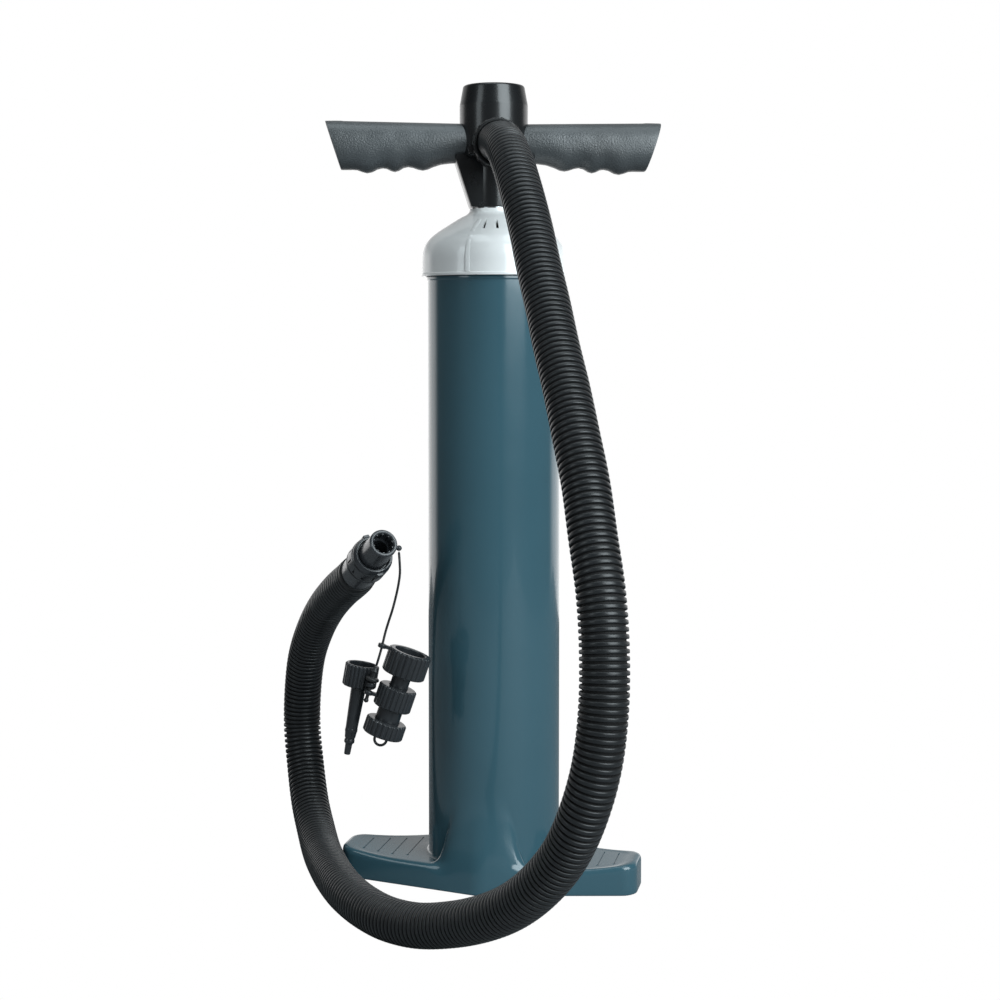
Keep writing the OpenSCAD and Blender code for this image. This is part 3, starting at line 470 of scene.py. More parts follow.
for n, angle in enumerate((100, 280)):
    spin = ON_END @ Matrix.Rotation(math.radians(angle), 4, "Z")
    spin = spin @ Matrix.Translation((COLLAR_OUT - 0.6, 0, SPIGOT_AT - 5.6))
    bump = eased([(-1.4, -2.5, 0.6), (1.6, -2.5, 0.9), (1.6, 2.5, 0.9), (-1.4, 2.5, 0.6)], 4)
    corners = [spin @ Vector((x - 0.3 * (z > 2.9), y * (1 - 0.1 * (abs(z) > 2.9)), z))
               for z in (-3.4, -2.9, 2.9, 3.4) for x, y in bump]
    size = len(bump)
    faces = [(k * size + i, k * size + (i + 1) % size, (k + 1) * size + (i + 1) % size, (k + 1) * size + i)
             for k in range(3) for i in range(size)]
    faces += [tuple(range(size - 1, -1, -1)), tuple(range(3 * size, 4 * size))]
    mesh_piece(f"collar_bump_{n}", corners, faces, "collar", None, "collar", collar_plastic, crease=50)

# ---- Spigot -----------------------------------------------------------------
# Tapered grey-black nozzle moulded in one with its inner flange, held by the
# collar. Its mouth has a rounded lip with small teeth inside and a lug at the
# side for the tether. The hose carries all four end pieces.
SPIGOT_BORE = 6.0
spigot_line = eased([(SPIGOT_BORE, SPIGOT_AT - 6.2, 0), (12, SPIGOT_AT - 6.2, 0.2),
                     (12, SPIGOT_AT - 4, 0.2), (11.2, SPIGOT_AT - 4, 0), (11.3, SPIGOT_AT, 0),
                     (10.3, 63.2, 0.4), (10.6, 63.8, 0.4), (10.5, 66.4, 0.8), (9.7, 67.4, 0.5),
                     (8.3, 67.4, 0.5), (7.6, 66.6, 0.3), (7.4, 58, 0.4), (SPIGOT_BORE, 56.5, 0.4)])
spigot = mesh_piece("spigot", *lathed(spigot_line, 96, ON_END), "turning", "spigot", "fitting",
                    fitting_plastic)
tooth_turns = [ON_END @ Matrix.Rotation(math.radians(36 * n + 10), 4, "Z") for n in range(10)]
teeth = [box_of((6.9, -0.5, 58.6), (7.7, 0.5, 66.0), spin) for spin in tooth_turns]
lug_spin = ON_END @ Matrix.Rotation(math.radians(-12), 4, "Z")
lug_spin = lug_spin @ Matrix.Translation((0, 0, MOUTH_AT - 4)) @ Matrix.Rotation(math.pi / 2, 4, "Y")
lug_arm = lathed(eased([(0, 8.5, 0), (1.9, 8.5, 0), (1.45, 11.5, 1), (1.5, 13.2, 0.6), (0, 13.4, 0)]), 24,
                 lug_spin)
ball = [(2.1 * math.sin(math.pi * k / 10), 13.2 - 2.1 * math.cos(math.pi * k / 10)) for k in range(11)]
mesh_piece("spigot_trim", *together(lug_arm, lathed(ball, 24, lug_spin), *teeth), "turning", None,
           "fitting", fitting_plastic)

# ---- Tether -----------------------------------------------------------------
# Thin cord moulded in a soft black plastic that keeps its curve. It hangs from
# the lug on the spigot and runs down to the toggle.
TETHER_ROUTE = [(-57.4, -77.4, 257.8), (-57, -78, 254), (-56.5, -78.9, 249), (-56.2, -79.6, 243),
                (-56.9, -80.2, 236), (-58.2, -80.6, 229), (-59.8, -81.2, 222), (-61.6, -82, 215),
                (-63.8, -82.8, 208), (-66, -83.6, 200.5), (-67.7, -84.8, 193), (-69, -86, 187),
                (-70.3, -87, 182), (-71.4, -87.6, 178), (-72.1, -87.9, 175.6)]
TETHER_ACROSS = 1.8
tether_plastic = moulded("tether_plastic", (0.014, 0.015, 0.016), 0.42, grain=0.05, grain_size=2500,
                         painted_top_light=0.05)
tether_line, tether_ways, tether_length = smooth_route(
    TETHER_ROUTE, Vector((0.04, 0.1, -1)), Vector(TETHER_ROUTE[-1]) - Vector(TETHER_ROUTE[-2]), 1.2)
tether_sides = carried_sides(tether_ways)
last_point = len(tether_line) - 1
thicken = [TETHER_ACROSS / 2 * (0.35 if k in (0, last_point) else 1.0) for k in range(last_point + 1)]
corners, faces = swept(zip(tether_line, tether_ways, tether_sides), thicken, 12)
faces += [tuple(range(11, -1, -1)), tuple(range(last_point * 12, last_point * 12 + 12))]
tether = mesh_piece("tether", corners, faces, "turning", "tether", "tether", tether_plastic, crease=50)

# ---- Toggle -----------------------------------------------------------------
# The tether's lower end, moulded with it: a cone, a neck, a flat stop disc and a
# thin stem with a bead. The adapters' eyes are pushed over it.
HANG_TURN = math.radians(9)


def hung(place, lean):
    """Where a leaning piece sits in the plane that the adapters hang in."""
    turned = Matrix.Translation(place) @ Matrix.Rotation(HANG_TURN, 4, "Z")
    return turned @ Matrix.Rotation(math.radians(lean), 4, "Y")


toggle_line = eased([(0, -27.6, 0), (1.5, -26.9, 0.8), (1.9, -25.6, 0.8), (1.3, -24.3, 0.3), (1.2, -11, 0),
                     (4.4, -11, 0.3), (5, -10.4, 0.5), (5, -9.2, 0.5), (4.3, -8.6, 0.3), (2, -8.6, 0.3),
                     (2, -4.2, 0.2), (3, -4.2, 0.3), (2.9, -3.4, 0.5), (1, -0.2, 0.3), (0, -0.1, 0)])
tether_toggle = mesh_piece("tether_toggle", *lathed(toggle_line, 40, hung((-72.2, -88, 175.4), 16.5)),
                           "turning", "tether_toggle", "tether", tether_plastic)

# ---- Adapters ---------------------------------------------------------------
# Four push-on ends in black polypropylene, each with a ribbed cap and an eyelet:
# a wide one, a middle one and a stopper stacked together, and a long nozzle.
ADAPTER_RIBS, RIB_DEPTH = 24, 0.85
STACK, NOZZLE = hung((-69.4, -81.9, 124), 19), hung((-97.3, -75.1, 107), 10)
adapter_plastic = moulded("adapter_plastic", (0.026, 0.029, 0.033), 0.30, grain=0.10, grain_size=900,
                          mottle=0.3, coat=0.3, coat_rough=0.14, painted_top_light=0.03)


def eyelet(turn, start, end, low, thick, hole, place):
    """A short arm ending in an eye, reaching out from a cap's side."""
    spin = place @ Matrix.Rotation(math.radians(turn), 4, "Z")
    eye = eased([(hole, low, 0.4), (3.2, low, 0.7), (3.2, low + thick, 0.7), (hole, low + thick, 0.4)])
    return [lathed(eye, 36, spin @ Matrix.Translation((end, 0, 0))),
            box_of((start, -1.7, low + 0.3), (end - hole - 0.5, 1.7, low + thick - 0.3), spin)]


def adapter(name, line, across, place, extras):
    """One adapter: its spun body with grooved sides, and whatever is moulded on it."""
    body = lathed(line, 240, place, ADAPTER_RIBS, RIB_DEPTH, across / 2 - 0.9, 0.36)
    return mesh_piece(name, *together(body, *extras), "turning", name, "adapter", adapter_plastic,
                      crease=40)


wide_line = eased([(4.6, 27, 0), (6.8, 27, 0), (6.8, 46.6, 0.6), (14.9, 46.6, 0.4), (16, 47.5, 0.5),
                   (16, 63.5, 0.5), (14.9, 64.4, 0.4), (11.9, 64.4, 0.4), (11.3, 63.7, 0.3),
                   (11.3, 50.6, 0), (4.6, 50.6, 0)])
adapter("wide_adapter", wide_line, 32, STACK, eyelet(190, 13, 21.2, 61.2, 3, 1.4, STACK))
middle_line = eased([(6, 3.6, 0), (9, 3.6, 0), (9, 21, 0.6), (12.9, 21, 0.4), (14, 21.9, 0.5),
                     (14, 36.5, 0.5), (12.9, 37.4, 0.4), (7.5, 37.4, 0.4), (6.85, 36.7, 0), (6.85, 25, 0),
                     (6, 25, 0)])
adapter("middle_adapter", middle_line, 28, STACK, eyelet(196, 11, 20.1, 26, 3, 1.5, STACK))
stopper_line = eased([(0, 0, 0), (13.9, 0, 0.4), (15, 0.9, 0.5), (15, 10.5, 0.5), (13.9, 11.4, 0.4),
                      (9.7, 11.4, 0.4), (9.05, 10.7, 0), (9.05, 3, 0), (0, 3, 0)])
loop_ways = [2 * math.pi * k / 40 for k in range(40)]
loop = swept([(STACK @ Vector((4.4 * math.cos(a), 0, -3.4 + 4.4 * math.sin(a))),
               (STACK.to_3x3() @ Vector((-math.sin(a), 0, math.cos(a)))),
               STACK.to_3x3() @ Vector((0, 1, 0))) for a in loop_ways],
             [1.0] * 40, 12, closed=True)
adapter("sealing_adapter", stopper_line, 30, STACK, [loop])
nozzle_line = eased([(1.3, 0.5, 0), (1.9, 0, 0.3), (2.3, 0.7, 0.3), (2.6, 8, 0.3), (3.8, 9.4, 0.3),
                     (3.8, 11, 0.4), (3.4, 12.5, 0.3), (3.9, 13, 0.3), (4.3, 17, 0), (4.6, 17.6, 0.3),
                     (4.6, 19.3, 0.3), (4.4, 20, 0.3), (5.5, 50.6, 0), (7, 51.5, 0.8), (11.6, 51.5, 0.3),
                     (12.5, 52.3, 0.4), (12.5, 67.2, 0.4), (11.6, 68, 0.3), (10.6, 68, 0.3),
                     (10, 67.3, 0.2), (10, 55.5, 0), (1.3, 55.5, 0)])
adapter("nozzle_adapter", nozzle_line, 25, NOZZLE, eyelet(-61.7, 10.5, 18.85, 56, 3, 1.5, NOZZLE))

# ---- Barrel and foot --------------------------------------------------------
# One moulding in glossy grey teal plastic: a thin-walled tube that flares into a
# foot whose two treads sweep forward. The treads dip between tip and barrel and
# have fine grooves across them, each ending in a small pit. Ribbed underneath.
BARREL_R, BORE_R, BARREL_TOP, CHAMBER_FLOOR, FLOOR_UNDER = 50.0, 48.0, 480.0, 20.0, 16.0
FOOT_REACH, FOOT_FRONT, TIP_BACK, TIP_FRONT, TREAD_LOW, TREAD_RISE = 114.5, 58.0, 4.5, 31.5, 19.0, 4.5
FOOT_EDGE, FOOT_SHELL, ROOT, FLARE_TOP, SKIN_TOP, TREAD_FLAT = 4.8, 2.5, 2.8, 80.0, 120.0, 66.0
FOOT_TURN = Matrix.Rotation(math.radians(-3.5), 4, "Z")


def tread(x):
    """Height of the tread: level in the middle and rising towards the tips."""
    return TREAD_LOW + TREAD_RISE * max(0, (abs(x) - TREAD_FLAT) / (FOOT_REACH - TREAD_FLAT)) ** 2


plan = eased([(FOOT_REACH, -TIP_FRONT, 12), (FOOT_REACH, TIP_BACK, 12), (0, FOOT_FRONT, 30),
              (-FOOT_REACH, TIP_BACK, 14), (-FOOT_REACH, -TIP_FRONT, 14), (0, -FOOT_FRONT, 30)], 10)


def plan_reach(angle):
    """Distance from the axis to the foot's outline in that direction."""
    way = Vector((math.cos(angle), math.sin(angle)))
    for a, b in zip(plan, plan[1:] + plan[:1]):
        a, b = Vector(a), Vector(b)
        along = b - a
        cross = way.x * along.y - way.y * along.x
        if abs(cross) > 1e-9:
            out = (a.x * along.y - a.y * along.x) / cross
            on = (a.x * way.y - a.y * way.x) / cross
            if out > 0 and -1e-6 <= on <= 1 + 1e-6:
                return out
    return FOOT_FRONT


def eased_turn(a, corner, b, steps):
    """A soft bend from a to b past a corner."""
    return [a.lerp(corner, k / steps).lerp(corner.lerp(b, k / steps), k / steps) for k in range(steps + 1)]


FOOT_STEPS = 384
foot_corners, foot_faces = [], []
for j in range(FOOT_STEPS):
    angle = 2 * math.pi * j / FOOT_STEPS
    reach, way = plan_reach(angle), Vector((math.cos(angle), math.sin(angle)))
    inner, outer = Vector((BARREL_R, tread(BARREL_R))), Vector((reach, tread(reach * way.x)))
    along = (outer - inner).normalized()
    start, stop = inner + along * ROOT, outer - along * min(FOOT_EDGE, 0.5 * (reach - BARREL_R))
    spine = eased_turn(inner + Vector((0, ROOT)), inner, start, 8)
    for k in range(1, 12):
        r = start.x + (stop.x - start.x) * k / 12
        spine.append(Vector((r, tread(r * way.x))))
    spine += eased_turn(stop, outer, outer - Vector((0, FOOT_EDGE)), 8)
    # in front of and behind the barrel the same skin is one long soft slope instead
    front = min(1.0, max(0.0, (abs(way.y) - 0.74) / 0.24))
    front = front * front * (3 - 2 * front)
    for k, point in enumerate(spine):
        u = k / (len(spine) - 1)
        swell = u**3 * (10 - 15 * u + 6 * u * u)
        slope = Vector((BARREL_R + (reach - BARREL_R) * swell, FLARE_TOP - (FLARE_TOP - 2) * u))
        spine[k] = point.lerp(slope, front)
    # the skin starts level with the tube, well above the bend, so that no seam shows
    spine = [Vector((BARREL_R, SKIN_TOP)), Vector((BARREL_R, spine[0].y + 1))] + spine
    lip = spine[-1].y
    spine += [Vector((reach, lip - (lip - 1.2) * k / 5)) for k in range(1, 6)]
    spine += [Vector(c) for c in ((reach - 0.3, 0.3), (reach - 1, 0), (reach - FOOT_SHELL, 0),
                                  (reach - FOOT_SHELL - 0.2, FLOOR_UNDER - 2.4),
                                  (reach - FOOT_SHELL - 1.5, FLOOR_UNDER - 0.6),
                                  (BARREL_R - 1, FLOOR_UNDER - 0.3), (BARREL_R - 1, 17.5))]
    foot_corners += [FOOT_TURN @ Vector((c.x * way.x, c.x * way.y, c.y)) for c in spine]
rows = len(spine)
for j in range(FOOT_STEPS):
    k = (j + 1) % FOOT_STEPS
    foot_faces += [(j * rows + i, k * rows + i, k * rows + (i + 1) % rows, j * rows + (i + 1) % rows)
                   for i in range(rows)]
barrel_line = eased([(0, FLOOR_UNDER, 0), (BARREL_R - 0.6, FLOOR_UNDER, 0), (BARREL_R - 0.4, 17, 0),
                     (BARREL_R - 0.4, SKIN_TOP - 0.4, 0), (BARREL_R, SKIN_TOP, 0), (BARREL_R, 455.4, 0.3),
                     (BARREL_R + 0.7, 456.2, 0.4), (BARREL_R + 0.7, 458.2, 0.4), (BARREL_R, 458.4, 0),
                     (BARREL_R, 466.6, 0), (BARREL_R + 0.9, 467.6, 0.4), (BARREL_R + 0.9, 468.6, 0.4),
                     (BARREL_R, 469.6, 0), (BARREL_R, BARREL_TOP, 0.7), (BORE_R, BARREL_TOP, 0.7),
                     (BORE_R, CHAMBER_FLOOR, 1.0), (0, CHAMBER_FLOOR, 0)])
barrel_plastic = moulded("barrel_plastic", (0.047, 0.116, 0.150), 0.17, grain=0.012, grain_size=60,
                         mottle=0.03, coat=0.35, coat_rough=0.05)
mesh_piece("barrel", *lathed(barrel_line, 192), "barrel", "barrel", "barrel", barrel_plastic)
foot = mesh_piece("foot", foot_corners, foot_faces, "barrel", None, "barrel", barrel_plastic, crease=50)
grooves = []
for side in (-1, 1):
    for n in range(4):
        x = side * (61 + 12 * n)
        front_end = -29.0 + max(0, n - 1) * 2.4
        back_end = (FOOT_FRONT - 3) * (1 - abs(x) / 122) - 8
        low = tread(x)
        grooves.append(box_of((x - 0.4, front_end, low - 0.6), (x + 0.4, back_end, low + 6), FOOT_TURN))
        grooves.append(lathed([(0, low - 1.0), (1.1, low - 1.0), (1.1, low + 6), (0, low + 6)], 20,
                              FOOT_TURN @ Matrix.Translation((x, front_end, 0))))
carve(foot, grooves, 50)
ribs = [box_of((-FOOT_REACH + 2.4, -1, 0.2), (FOOT_REACH - 2.4, 1, FLOOR_UNDER), FOOT_TURN),
        box_of((-1, -FOOT_FRONT + 4, 0.2), (1, FOOT_FRONT - 4, FLOOR_UNDER), FOOT_TURN),
        lathed([(BARREL_R - 2.5, 0.2), (BARREL_R, 0.2), (BARREL_R, FLOOR_UNDER + 0.5),
                (BARREL_R - 2.5, FLOOR_UNDER + 0.5)], 128)]
for x in (-95, -75.5, 75.5, 95):
    share = 1 - abs(x) / FOOT_REACH
    ribs.append(box_of((x - 1, -TIP_FRONT - (FOOT_FRONT - TIP_FRONT) * share + 4, 0.2),
                       (x + 1, TIP_BACK + (FOOT_FRONT - TIP_BACK) * share - 6, FLOOR_UNDER), FOOT_TURN))
mesh_piece("foot_ribs", *together(*ribs), "barrel", None, "barrel", barrel_plastic)


def kept(names, material):
    """Gives the pieces that stay as drawn their material."""
    for piece_name in names:
        nodes[piece_name].data.materials.clear()
        nodes[piece_name].data.materials.append(material)


# ---- Intake valve -----------------------------------------------------------
# A thin grey rubber disc over the holes in the barrel's floor, held by a white
# nylon stud pushed through from above. It lifts 2 mm as air comes in.
valve_rubber = moulded("valve_rubber", (0.045, 0.047, 0.050), 0.62, grain=0.10, grain_size=1300,
                       mottle=0.2, painted_top_light=0.02)
stud_nylon = moulded("stud_nylon", (0.62, 0.61, 0.57), 0.38, grain=0.05, grain_size=800, mottle=0.05)
kept(["intake_disc"], valve_rubber)
kept(["intake_stud"], stud_nylon)

# ---- Rod and piston ---------------------------------------------------------
# A satin aluminium tube, pinned into a grey two-part piston with a lip seal, two
# rubber valve discs and their keepers. The screws join body and crown, and a
# rubber bumper sits on top.
def metal(name, colour, rough, lines):
    """Drawn or turned metal: fine lines along or round it and a slightly uneven shine."""
    material, tree, shader = node_tree(name)
    place, stretch = tree.nodes.new("ShaderNodeTexCoord"), tree.nodes.new("ShaderNodeMapping")
    stretch.inputs["Scale"].default_value = lines
    streaks = tree.nodes.new("ShaderNodeTexNoise")
    streaks.inputs["Scale"].default_value = 400
    sheen, relief = tree.nodes.new("ShaderNodeMapRange"), tree.nodes.new("ShaderNodeBump")
    sheen.inputs["To Min"].default_value, sheen.inputs["To Max"].default_value = rough * 0.75, rough * 1.3
    relief.inputs["Strength"].default_value, relief.inputs["Distance"].default_value = 0.08, 0.0002
    shader.inputs["Base Color"].default_value = (*colour, 1)
    shader.inputs["Metallic"].default_value = 1.0
    tree.links.new(place.outputs["Object"], stretch.inputs["Vector"])
    tree.links.new(stretch.outputs["Vector"], streaks.inputs["Vector"])
    tree.links.new(streaks.outputs["Fac"], sheen.inputs["Value"])
    tree.links.new(sheen.outputs["Result"], shader.inputs["Roughness"])
    tree.links.new(streaks.outputs["Fac"], relief.inputs["Height"])
    tree.links.new(relief.outputs["Normal"], shader.inputs["Normal"])
    return material


rod_metal = metal("rod_metal", (0.66, 0.67, 0.68), 0.24, (1, 1, 0.02))
screw_steel = metal("screw_steel", (0.50, 0.50, 0.49), 0.30, (1, 1, 1))
piston_plastic = moulded("piston_plastic", (0.085, 0.088, 0.090), 0.40, grain=0.06, grain_size=500,
                         mottle=0.08)
seal_rubber = moulded("seal_rubber", (0.013, 0.0135, 0.014), 0.50, grain=0.05, grain_size=1000, mottle=0.15)
kept(["rod"], rod_metal)
kept(["piston_body", "piston_crown"], piston_plastic)
kept(["piston_seal", "bumper"], seal_rubber)
kept(["lower_valve_disc", "upper_valve_ring"], valve_rubber)
kept(["lower_valve_keeper", "upper_valve_keeper"], stud_nylon)
kept(["piston_screws", "rod_pin"], screw_steel)

# ---- Cylinder head ----------------------------------------------------------
# A grey moulding closing the barrel's top under the cap, with a seal in a groove,
# a ring valve over its vents and a keeper that lets the ring lift.
kept(["cylinder_head"], piston_plastic)
kept(["head_seal"], seal_rubber)
kept(["head_ring_valve"], valve_rubber)
kept(["head_keeper"], stud_nylon)

# ---- Guide bush -------------------------------------------------------------
# The pale bush that the rod slides through, turning in the cylinder head, with
# its own two black seals.
bush_plastic = moulded("bush_plastic", (0.55, 0.55, 0.52), 0.34, grain=0.04, grain_size=600, mottle=0.05)
kept(["guide_bush"], bush_plastic)
kept(["bush_seal", "rod_seal"], seal_rubber)

# ---- Cap --------------------------------------------------------------------
# Glossy white moulding that snaps over the barrel's top: a short skirt with a
# rim lip, a rounded shoulder and a straight slope up to the rod. Two panels of
# narrow slits, front and back, vent it, each between two low ribs.
HANDLE_TURN = Matrix.Rotation(PORT_TURN, 4, "Z")
CAP_TOP, CAP_RIM, CAP_R = 509.6, 458.6, 54.3
cap_bend = smooth_route([(18.6, 0, 507.2), (20.2, 0, 505.6), (25.0, 0, 503.0), (34.9, 0, 496.9),
                         (42.9, 0, 491.7), (48.6, 0, 486.9), (52.2, 0, 481.6), (53.8, 0, 476.5),
                         (CAP_R, 0, 470.0)], Vector((0.3, 0, -1)), Vector((0, 0, -1)), 1.1)[0]
cap_skin = [(18.3, CAP_TOP, 0.7)] + [(p.x, p.z, 0) for p in cap_bend]
cap_line = eased([(CAP_R, CAP_RIM + 2.4, 0.5), (CAP_R + 0.6, CAP_RIM + 1.9, 0.4),
                  (CAP_R + 0.6, CAP_RIM, 0.5), (52.0, CAP_RIM, 0.4), (52.0, 463.5, 0), (50.95, 464.2, 0.3),
                  (50.95, 465.5, 0.3), (52.1, 466.6, 0), (52.1, 474, 1.0), (50.3, 480.8, 1.5),
                  (47, 485.0, 2), (41, 489.9, 2), (33, 495.4, 2), (23.5, 501.0, 1), (17.8, 504.0, 1.5),
                  (14.6, 505.5, 0.8), (14.6, CAP_TOP, 0.7)] + cap_skin)
cap_plastic = moulded("cap_plastic", (0.90, 0.905, 0.90), 0.16, grain=0.01, grain_size=70, mottle=0.012,
                      coat=0.4)
cap = mesh_piece("cap", *lathed(cap_line, 192), "barrel", "cap", "cap", cap_plastic, crease=24)
slits, cap_ribs = [], []
for panel in (-90, 90):
    for n in (-1, 0, 1):
        turn_to = HANDLE_TURN @ Matrix.Rotation(math.radians(panel + 14.5 * n), 4, "Z")
        slits.append(box_of((29.5, -0.85, 484), (41.0, 0.85, 512), turn_to))
    for side in (-1, 1):
        turn_to = HANDLE_TURN @ Matrix.Rotation(math.radians(panel + 25 * side), 4, "Z")
        spine = [(20.0, 505.4), (25.0, 502.7), (34.9, 496.7), (42.9, 491.2), (47.8, 487.2), (51.0, 483.2),
                 (53.0, 479.0), (54.0, 474.0), (CAP_R, 469.0), (CAP_R, CAP_RIM + 2.2)]
        corners, half = [], 2.0
        for i, (r, z) in enumerate(spine):
            before, after = Vector(spine[max(0, i - 1)]), Vector(spine[min(len(spine) - 1, i + 1)])
            along = (after - before).normalized()
            out = Vector((-along.y, along.x))
            out = out if out.x + out.y > 0 else -out
            proud = 0.45 * min(1, i / 2)
            for y, lift in ((-half, -0.6), (-half, proud - 0.2), (-half + 0.3, proud), (half - 0.3, proud),
                            (half, proud - 0.2), (half, -0.6)):
                corners.append(turn_to @ Vector((r + out.x * lift - y * y / (2 * max(r, 20)), y,
                                                 z + out.y * lift)))
        faces = [(k * 6 + i, k * 6 + i + 1, k * 6 + i + 7, k * 6 + i + 6) for k in range(len(spine) - 1)
                 for i in range(5)]
        cap_ribs.append((corners, faces))
carve(cap, slits, 24)
mesh_piece("cap_panel_ribs", *together(*cap_ribs), "barrel", None, "cap", cap_plastic, crease=40)

# ---- Hub --------------------------------------------------------------------
# Glossy black hub on the rod's top: a hollow drum, drawn in towards its eased
# rim, on a neck between gussets that carry the grips, with a port in front.
HUB_R, HUB_LOW, HUB_TOP, NECK_LOW, NECK_R, PORT_Z = 25.75, 548.0, 602.0, 510.6, 17.0, 555.0
hub_plastic = moulded("hub_plastic", (0.0105, 0.0115, 0.0125), 0.28, grain=0.02, grain_size=90, mottle=0.1,
                      coat=0.3, coat_rough=0.12, painted_top_light=0.015)
drum_line = eased([(0, HUB_LOW, 0), (24.6, HUB_LOW, 1.2), (HUB_R, HUB_LOW + 1.6, 1.2),
                   (HUB_R, HUB_TOP - 15, 6), (24.2, HUB_TOP - 6.5, 5), (23.0, HUB_TOP, 2.2),
                   (0, HUB_TOP, 0)], 8)
neck_line = eased([(14.1, NECK_LOW, 0.4), (NECK_R, NECK_LOW, 0.6), (NECK_R, HUB_LOW, 0),
                   (NECK_R, HUB_LOW + 1, 0), (14.1, HUB_LOW + 1, 0)])
gusset = eased([(-18.0, NECK_LOW, 0.8), (18.0, NECK_LOW, 0.8), (29.8, 547, 1.0), (29.4, 549.6, 0.8),
                (-29.4, 549.6, 0.8), (-29.8, 547, 1.0)], 4)
corners = [HANDLE_TURN @ Vector((x * (1 - 0.02 * (abs(y) > 13.9)), y, z))
           for y in (-14.5, -13.8, 13.8, 14.5) for x, z in gusset]
size = len(gusset)
gusset_faces = [(k * size + i, k * size + (i + 1) % size, (k + 1) * size + (i + 1) % size,
                 (k + 1) * size + i)
                for k in range(3) for i in range(size)]
gusset_faces += [tuple(range(size - 1, -1, -1)), tuple(range(3 * size, 4 * size))]
PORT = HANDLE_TURN @ Matrix.Translation((0, 0, PORT_Z)) @ Matrix.Rotation(math.pi / 2, 4, "X")
port_line = eased([(9.5, 20, 0), (15.2, 20, 0), (14.2, 25.6, 1.5), (13.45, 28, 0.8), (13.45, 35.9, 0.3),
                   (9.5, 35.9, 0.3)])
mesh_piece("hub", *together(lathed(drum_line, 144, HANDLE_TURN), lathed(neck_line, 96, HANDLE_TURN),
                            (corners, gusset_faces), lathed(port_line, 64, PORT)), "plunger", "hub", "hub",
           hub_plastic, crease=38)

# ---- Grips ------------------------------------------------------------------
# Two hollow charcoal mouldings pushed on the hub's stubs and screwed from the
# back. Each is rounded front and back, flat-topped, with rests for the fingers
# below, and its end is cut on a slant and open. A fine grain is moulded in.
GRIP_TOP, GRIP_LOW, GRIP_END = HUB_LOW + 25.4, HUB_LOW + 0.8, 126.6
STUB_R, STUB_END, STUB_Z, SCREW_OUT = 9.2, 62.5, HUB_LOW + 10, 44.0
finger_line = [(20.0, 4.0), (27, 4.6), (34, 5.2), (40, 6.0), (46, 8.0), (50, 9.8), (53.5, 10.5), (57, 9.9),
               (61, 8.5), (64.5, 7.9), (68, 8.7), (71.5, 10.8), (74.5, 11.7), (77.5, 11.0), (80.5, 9.5),
               (83.6, 9.0), (87.5, 9.9), (91.5, 12.0), (95.4, 12.8), (99, 11.9), (102.5, 10.6),
               (106, 10.3), (110, 10.4), (113, 10.4)]
GRIP_SIDES = 48


def grip_ring(out, top, low, half, slant=0.0):
    """One ring round a grip: rounded front and back, flatter above than below."""
    ring, middle, tall = [], (top + low) / 2, (top - low) / 2
    for i in range(GRIP_SIDES):
        a = 2 * math.pi * i / GRIP_SIDES
        across = math.copysign(abs(math.cos(a)) ** 0.85, math.cos(a)) * half
        up = math.copysign(abs(math.sin(a)) ** 0.9, math.sin(a)) * tall
        ring.append(Vector((out + slant * (1 + up / tall) / 2, across, middle + up)))
    return ring


def loft(rings):
    """Corners and faces of closed rings of equal size, the last joined back to the first."""
    size, corners, faces = len(rings[0]), [c for ring in rings for c in ring], []
    for k in range(len(rings)):
        m = (k + 1) % len(rings)
        faces += [(k * size + i, k * size + (i + 1) % size, m * size + (i + 1) % size, m * size + i)
                  for i in range(size)]
    return corners, faces


grip_plastic = moulded("grip_plastic", (0.047, 0.054, 0.058), 0.40, grain=0.7, grain_size=900, mottle=0.45,
                       painted_top_light=0.02)
grip_plastic.node_tree.nodes["Principled BSDF"].inputs["Specular IOR Level"].default_value = 0.95
for side, name in ((-1, "left_grip"), (1, "right_grip")):
    rings = []
    for out, drop in finger_line:
        rings.append(grip_ring(out, GRIP_TOP + 1.6 * (out - 20) / 108, GRIP_LOW - drop,
                               15.5 - 1.2 * max(0, (45 - out) / 25)))
    low_end = GRIP_LOW - 10.4
    for grow, dip, half, slant in ((-1.8, 0, 15.5, 1.7), (-1.0, 0, 15.5, 5.8), (-0.2, 0.1, 15.5, 10),
                                   (0, 0.2, 15.4, 11.6), (0.2, 0.7, 15.0, 11.5), (-0.2, 2.6, 13.2, 10.8),
                                   (-0.8, 3.2, 12.6, 10.4)):
        rings.append(grip_ring(GRIP_END - 11.6 + grow, GRIP_TOP + 1.6 - dip, low_end + dip, half, slant))
    rings.append(grip_ring(100, GRIP_TOP - 2.6, low_end + 4.4, 11.6))
    rings.append(grip_ring(63, GRIP_TOP - 3.0, low_end + 6.0, 11.0))
    round_stub = [2 * math.pi * i / GRIP_SIDES for i in range(GRIP_SIDES)]
    for out in (STUB_END, 20.5):
        rings.append([Vector((out, STUB_R * math.cos(a), STUB_Z + STUB_R * math.sin(a)))
                      for a in round_stub])
    mirror = HANDLE_TURN @ Matrix.Diagonal((side, 1, 1, 1))
    corners, faces = loft([[mirror @ c for c in ring] for ring in rings])
    grip = mesh_piece(name, corners, faces, "plunger", name, "grip", grip_plastic, crease=40)
    carve(grip, [lathed([(0, 530), (HUB_R + 0.05, 530), (HUB_R + 0.05, 590), (0, 590)], 128),
                 lathed([(0, 12.6), (4.2, 12.6), (4.2, 30), (0, 30)], 32,
                        mirror @ Matrix.Translation((SCREW_OUT, 0,
                                                     STUB_Z)) @ Matrix.Rotation(-math.pi / 2, 4, "X"))], 40)

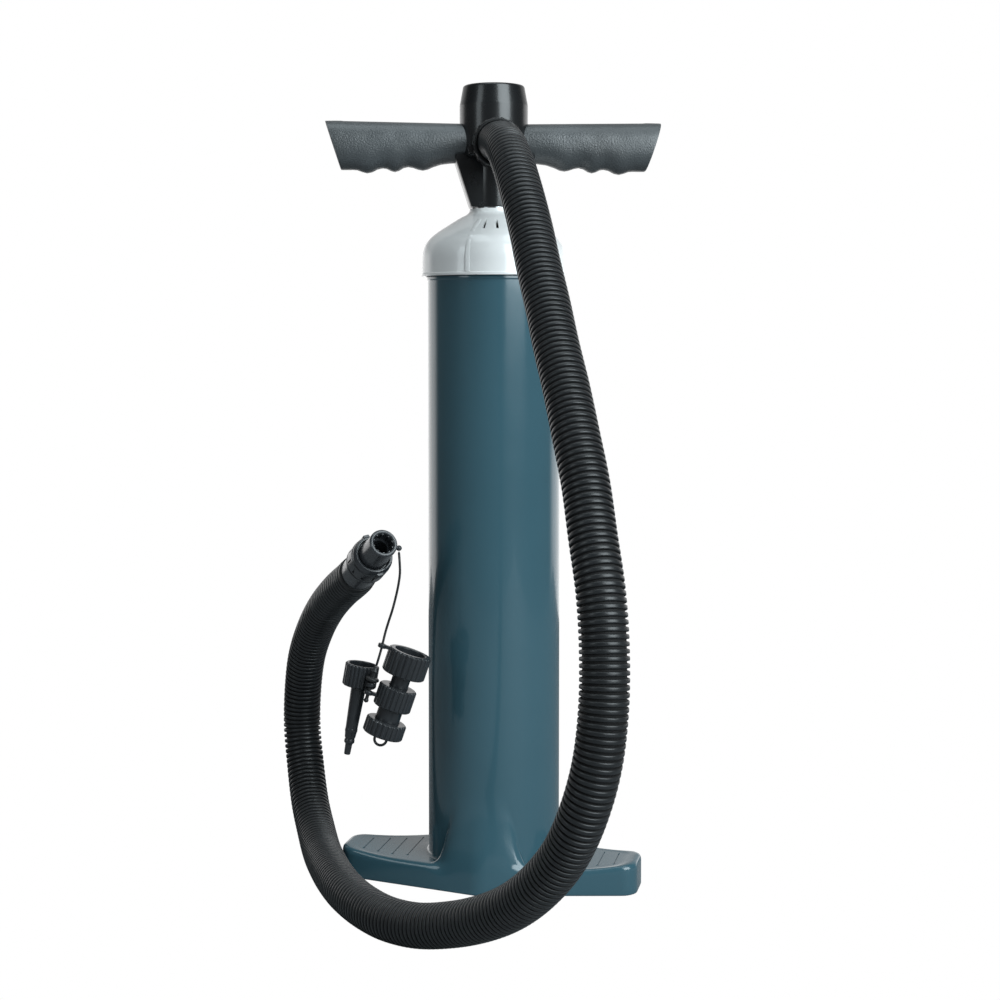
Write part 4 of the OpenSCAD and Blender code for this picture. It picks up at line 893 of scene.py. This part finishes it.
# ---- Grip screws ------------------------------------------------------------
# One bright pan-head screw sunk in the back of each grip, with a cross slot.
for side in (-1, 1):
    at = HANDLE_TURN @ Matrix.Translation((SCREW_OUT * side, 0,
                                           STUB_Z)) @ Matrix.Rotation(-math.pi / 2, 4, "X")
    line = eased([(0, 1, 0), (1.5, 1, 0), (1.5, 11.5, 0), (3.7, 11.5, 0.3), (3.8, 12.4, 0.5),
                  (2.9, 13.5, 0.8), (0, 13.7, 0)])
    screw = mesh_piece(f"grip_screw_{(side + 3) // 2}", *lathed(line, 48, at), "plunger", "grip_screws"
                       if side > 0 else None, "steel", screw_steel)
    carve(screw, [box_of((-2, -0.35, 12.3), (2, 0.35, 15), at),
                  box_of((-0.35, -2, 12.3), (0.35, 2, 15), at)])

# ---- Port seal, cuff and nut ------------------------------------------------
# The hose's cuff is drawn on to the port by a short black nut with fine ribs and
# a small glossy lug, and seals on a rubber ring.
kept(["port_seal"], seal_rubber)
kept(["hose_cuff"], hose_plastic)
nut_line = eased([(13.6, 28.95, 0), (17.3, 28.95, 0.5), (18.6, 30, 0.8), (18.6, 45.2, 0.8),
                  (17.5, 46.5, 0.6), (15.9, 46.5, 0.4), (15.4, 45.9, 0), (15.4, 41, 0), (16.4, 41, 0),
                  (16.4, 36.2, 0), (13.6, 36.2, 0)])
lug = eased([(-3, -3, 1), (3.6, -2.6, 1.4), (3.6, 2.6, 1.4), (-3, 3, 1)], 4)
lug_spin = PORT @ Matrix.Rotation(math.radians(193), 4, "Z") @ Matrix.Translation((18.2, 0, 36))
corners = [lug_spin @ Vector((x, y, z)) for z in (-4, 4) for x, y in lug]
size = len(lug)
lug_faces = [(i, (i + 1) % size, size + (i + 1) % size, size + i) for i in range(size)] + [
    tuple(range(size - 1, -1, -1)), tuple(range(size, 2 * size))]
mesh_piece("port_nut", *together(lathed(nut_line, 216, PORT, 18, 0.5, 17.9, 0.6), (corners, lug_faces)),
           "nut", "port_nut", "hub", hub_plastic, crease=38)
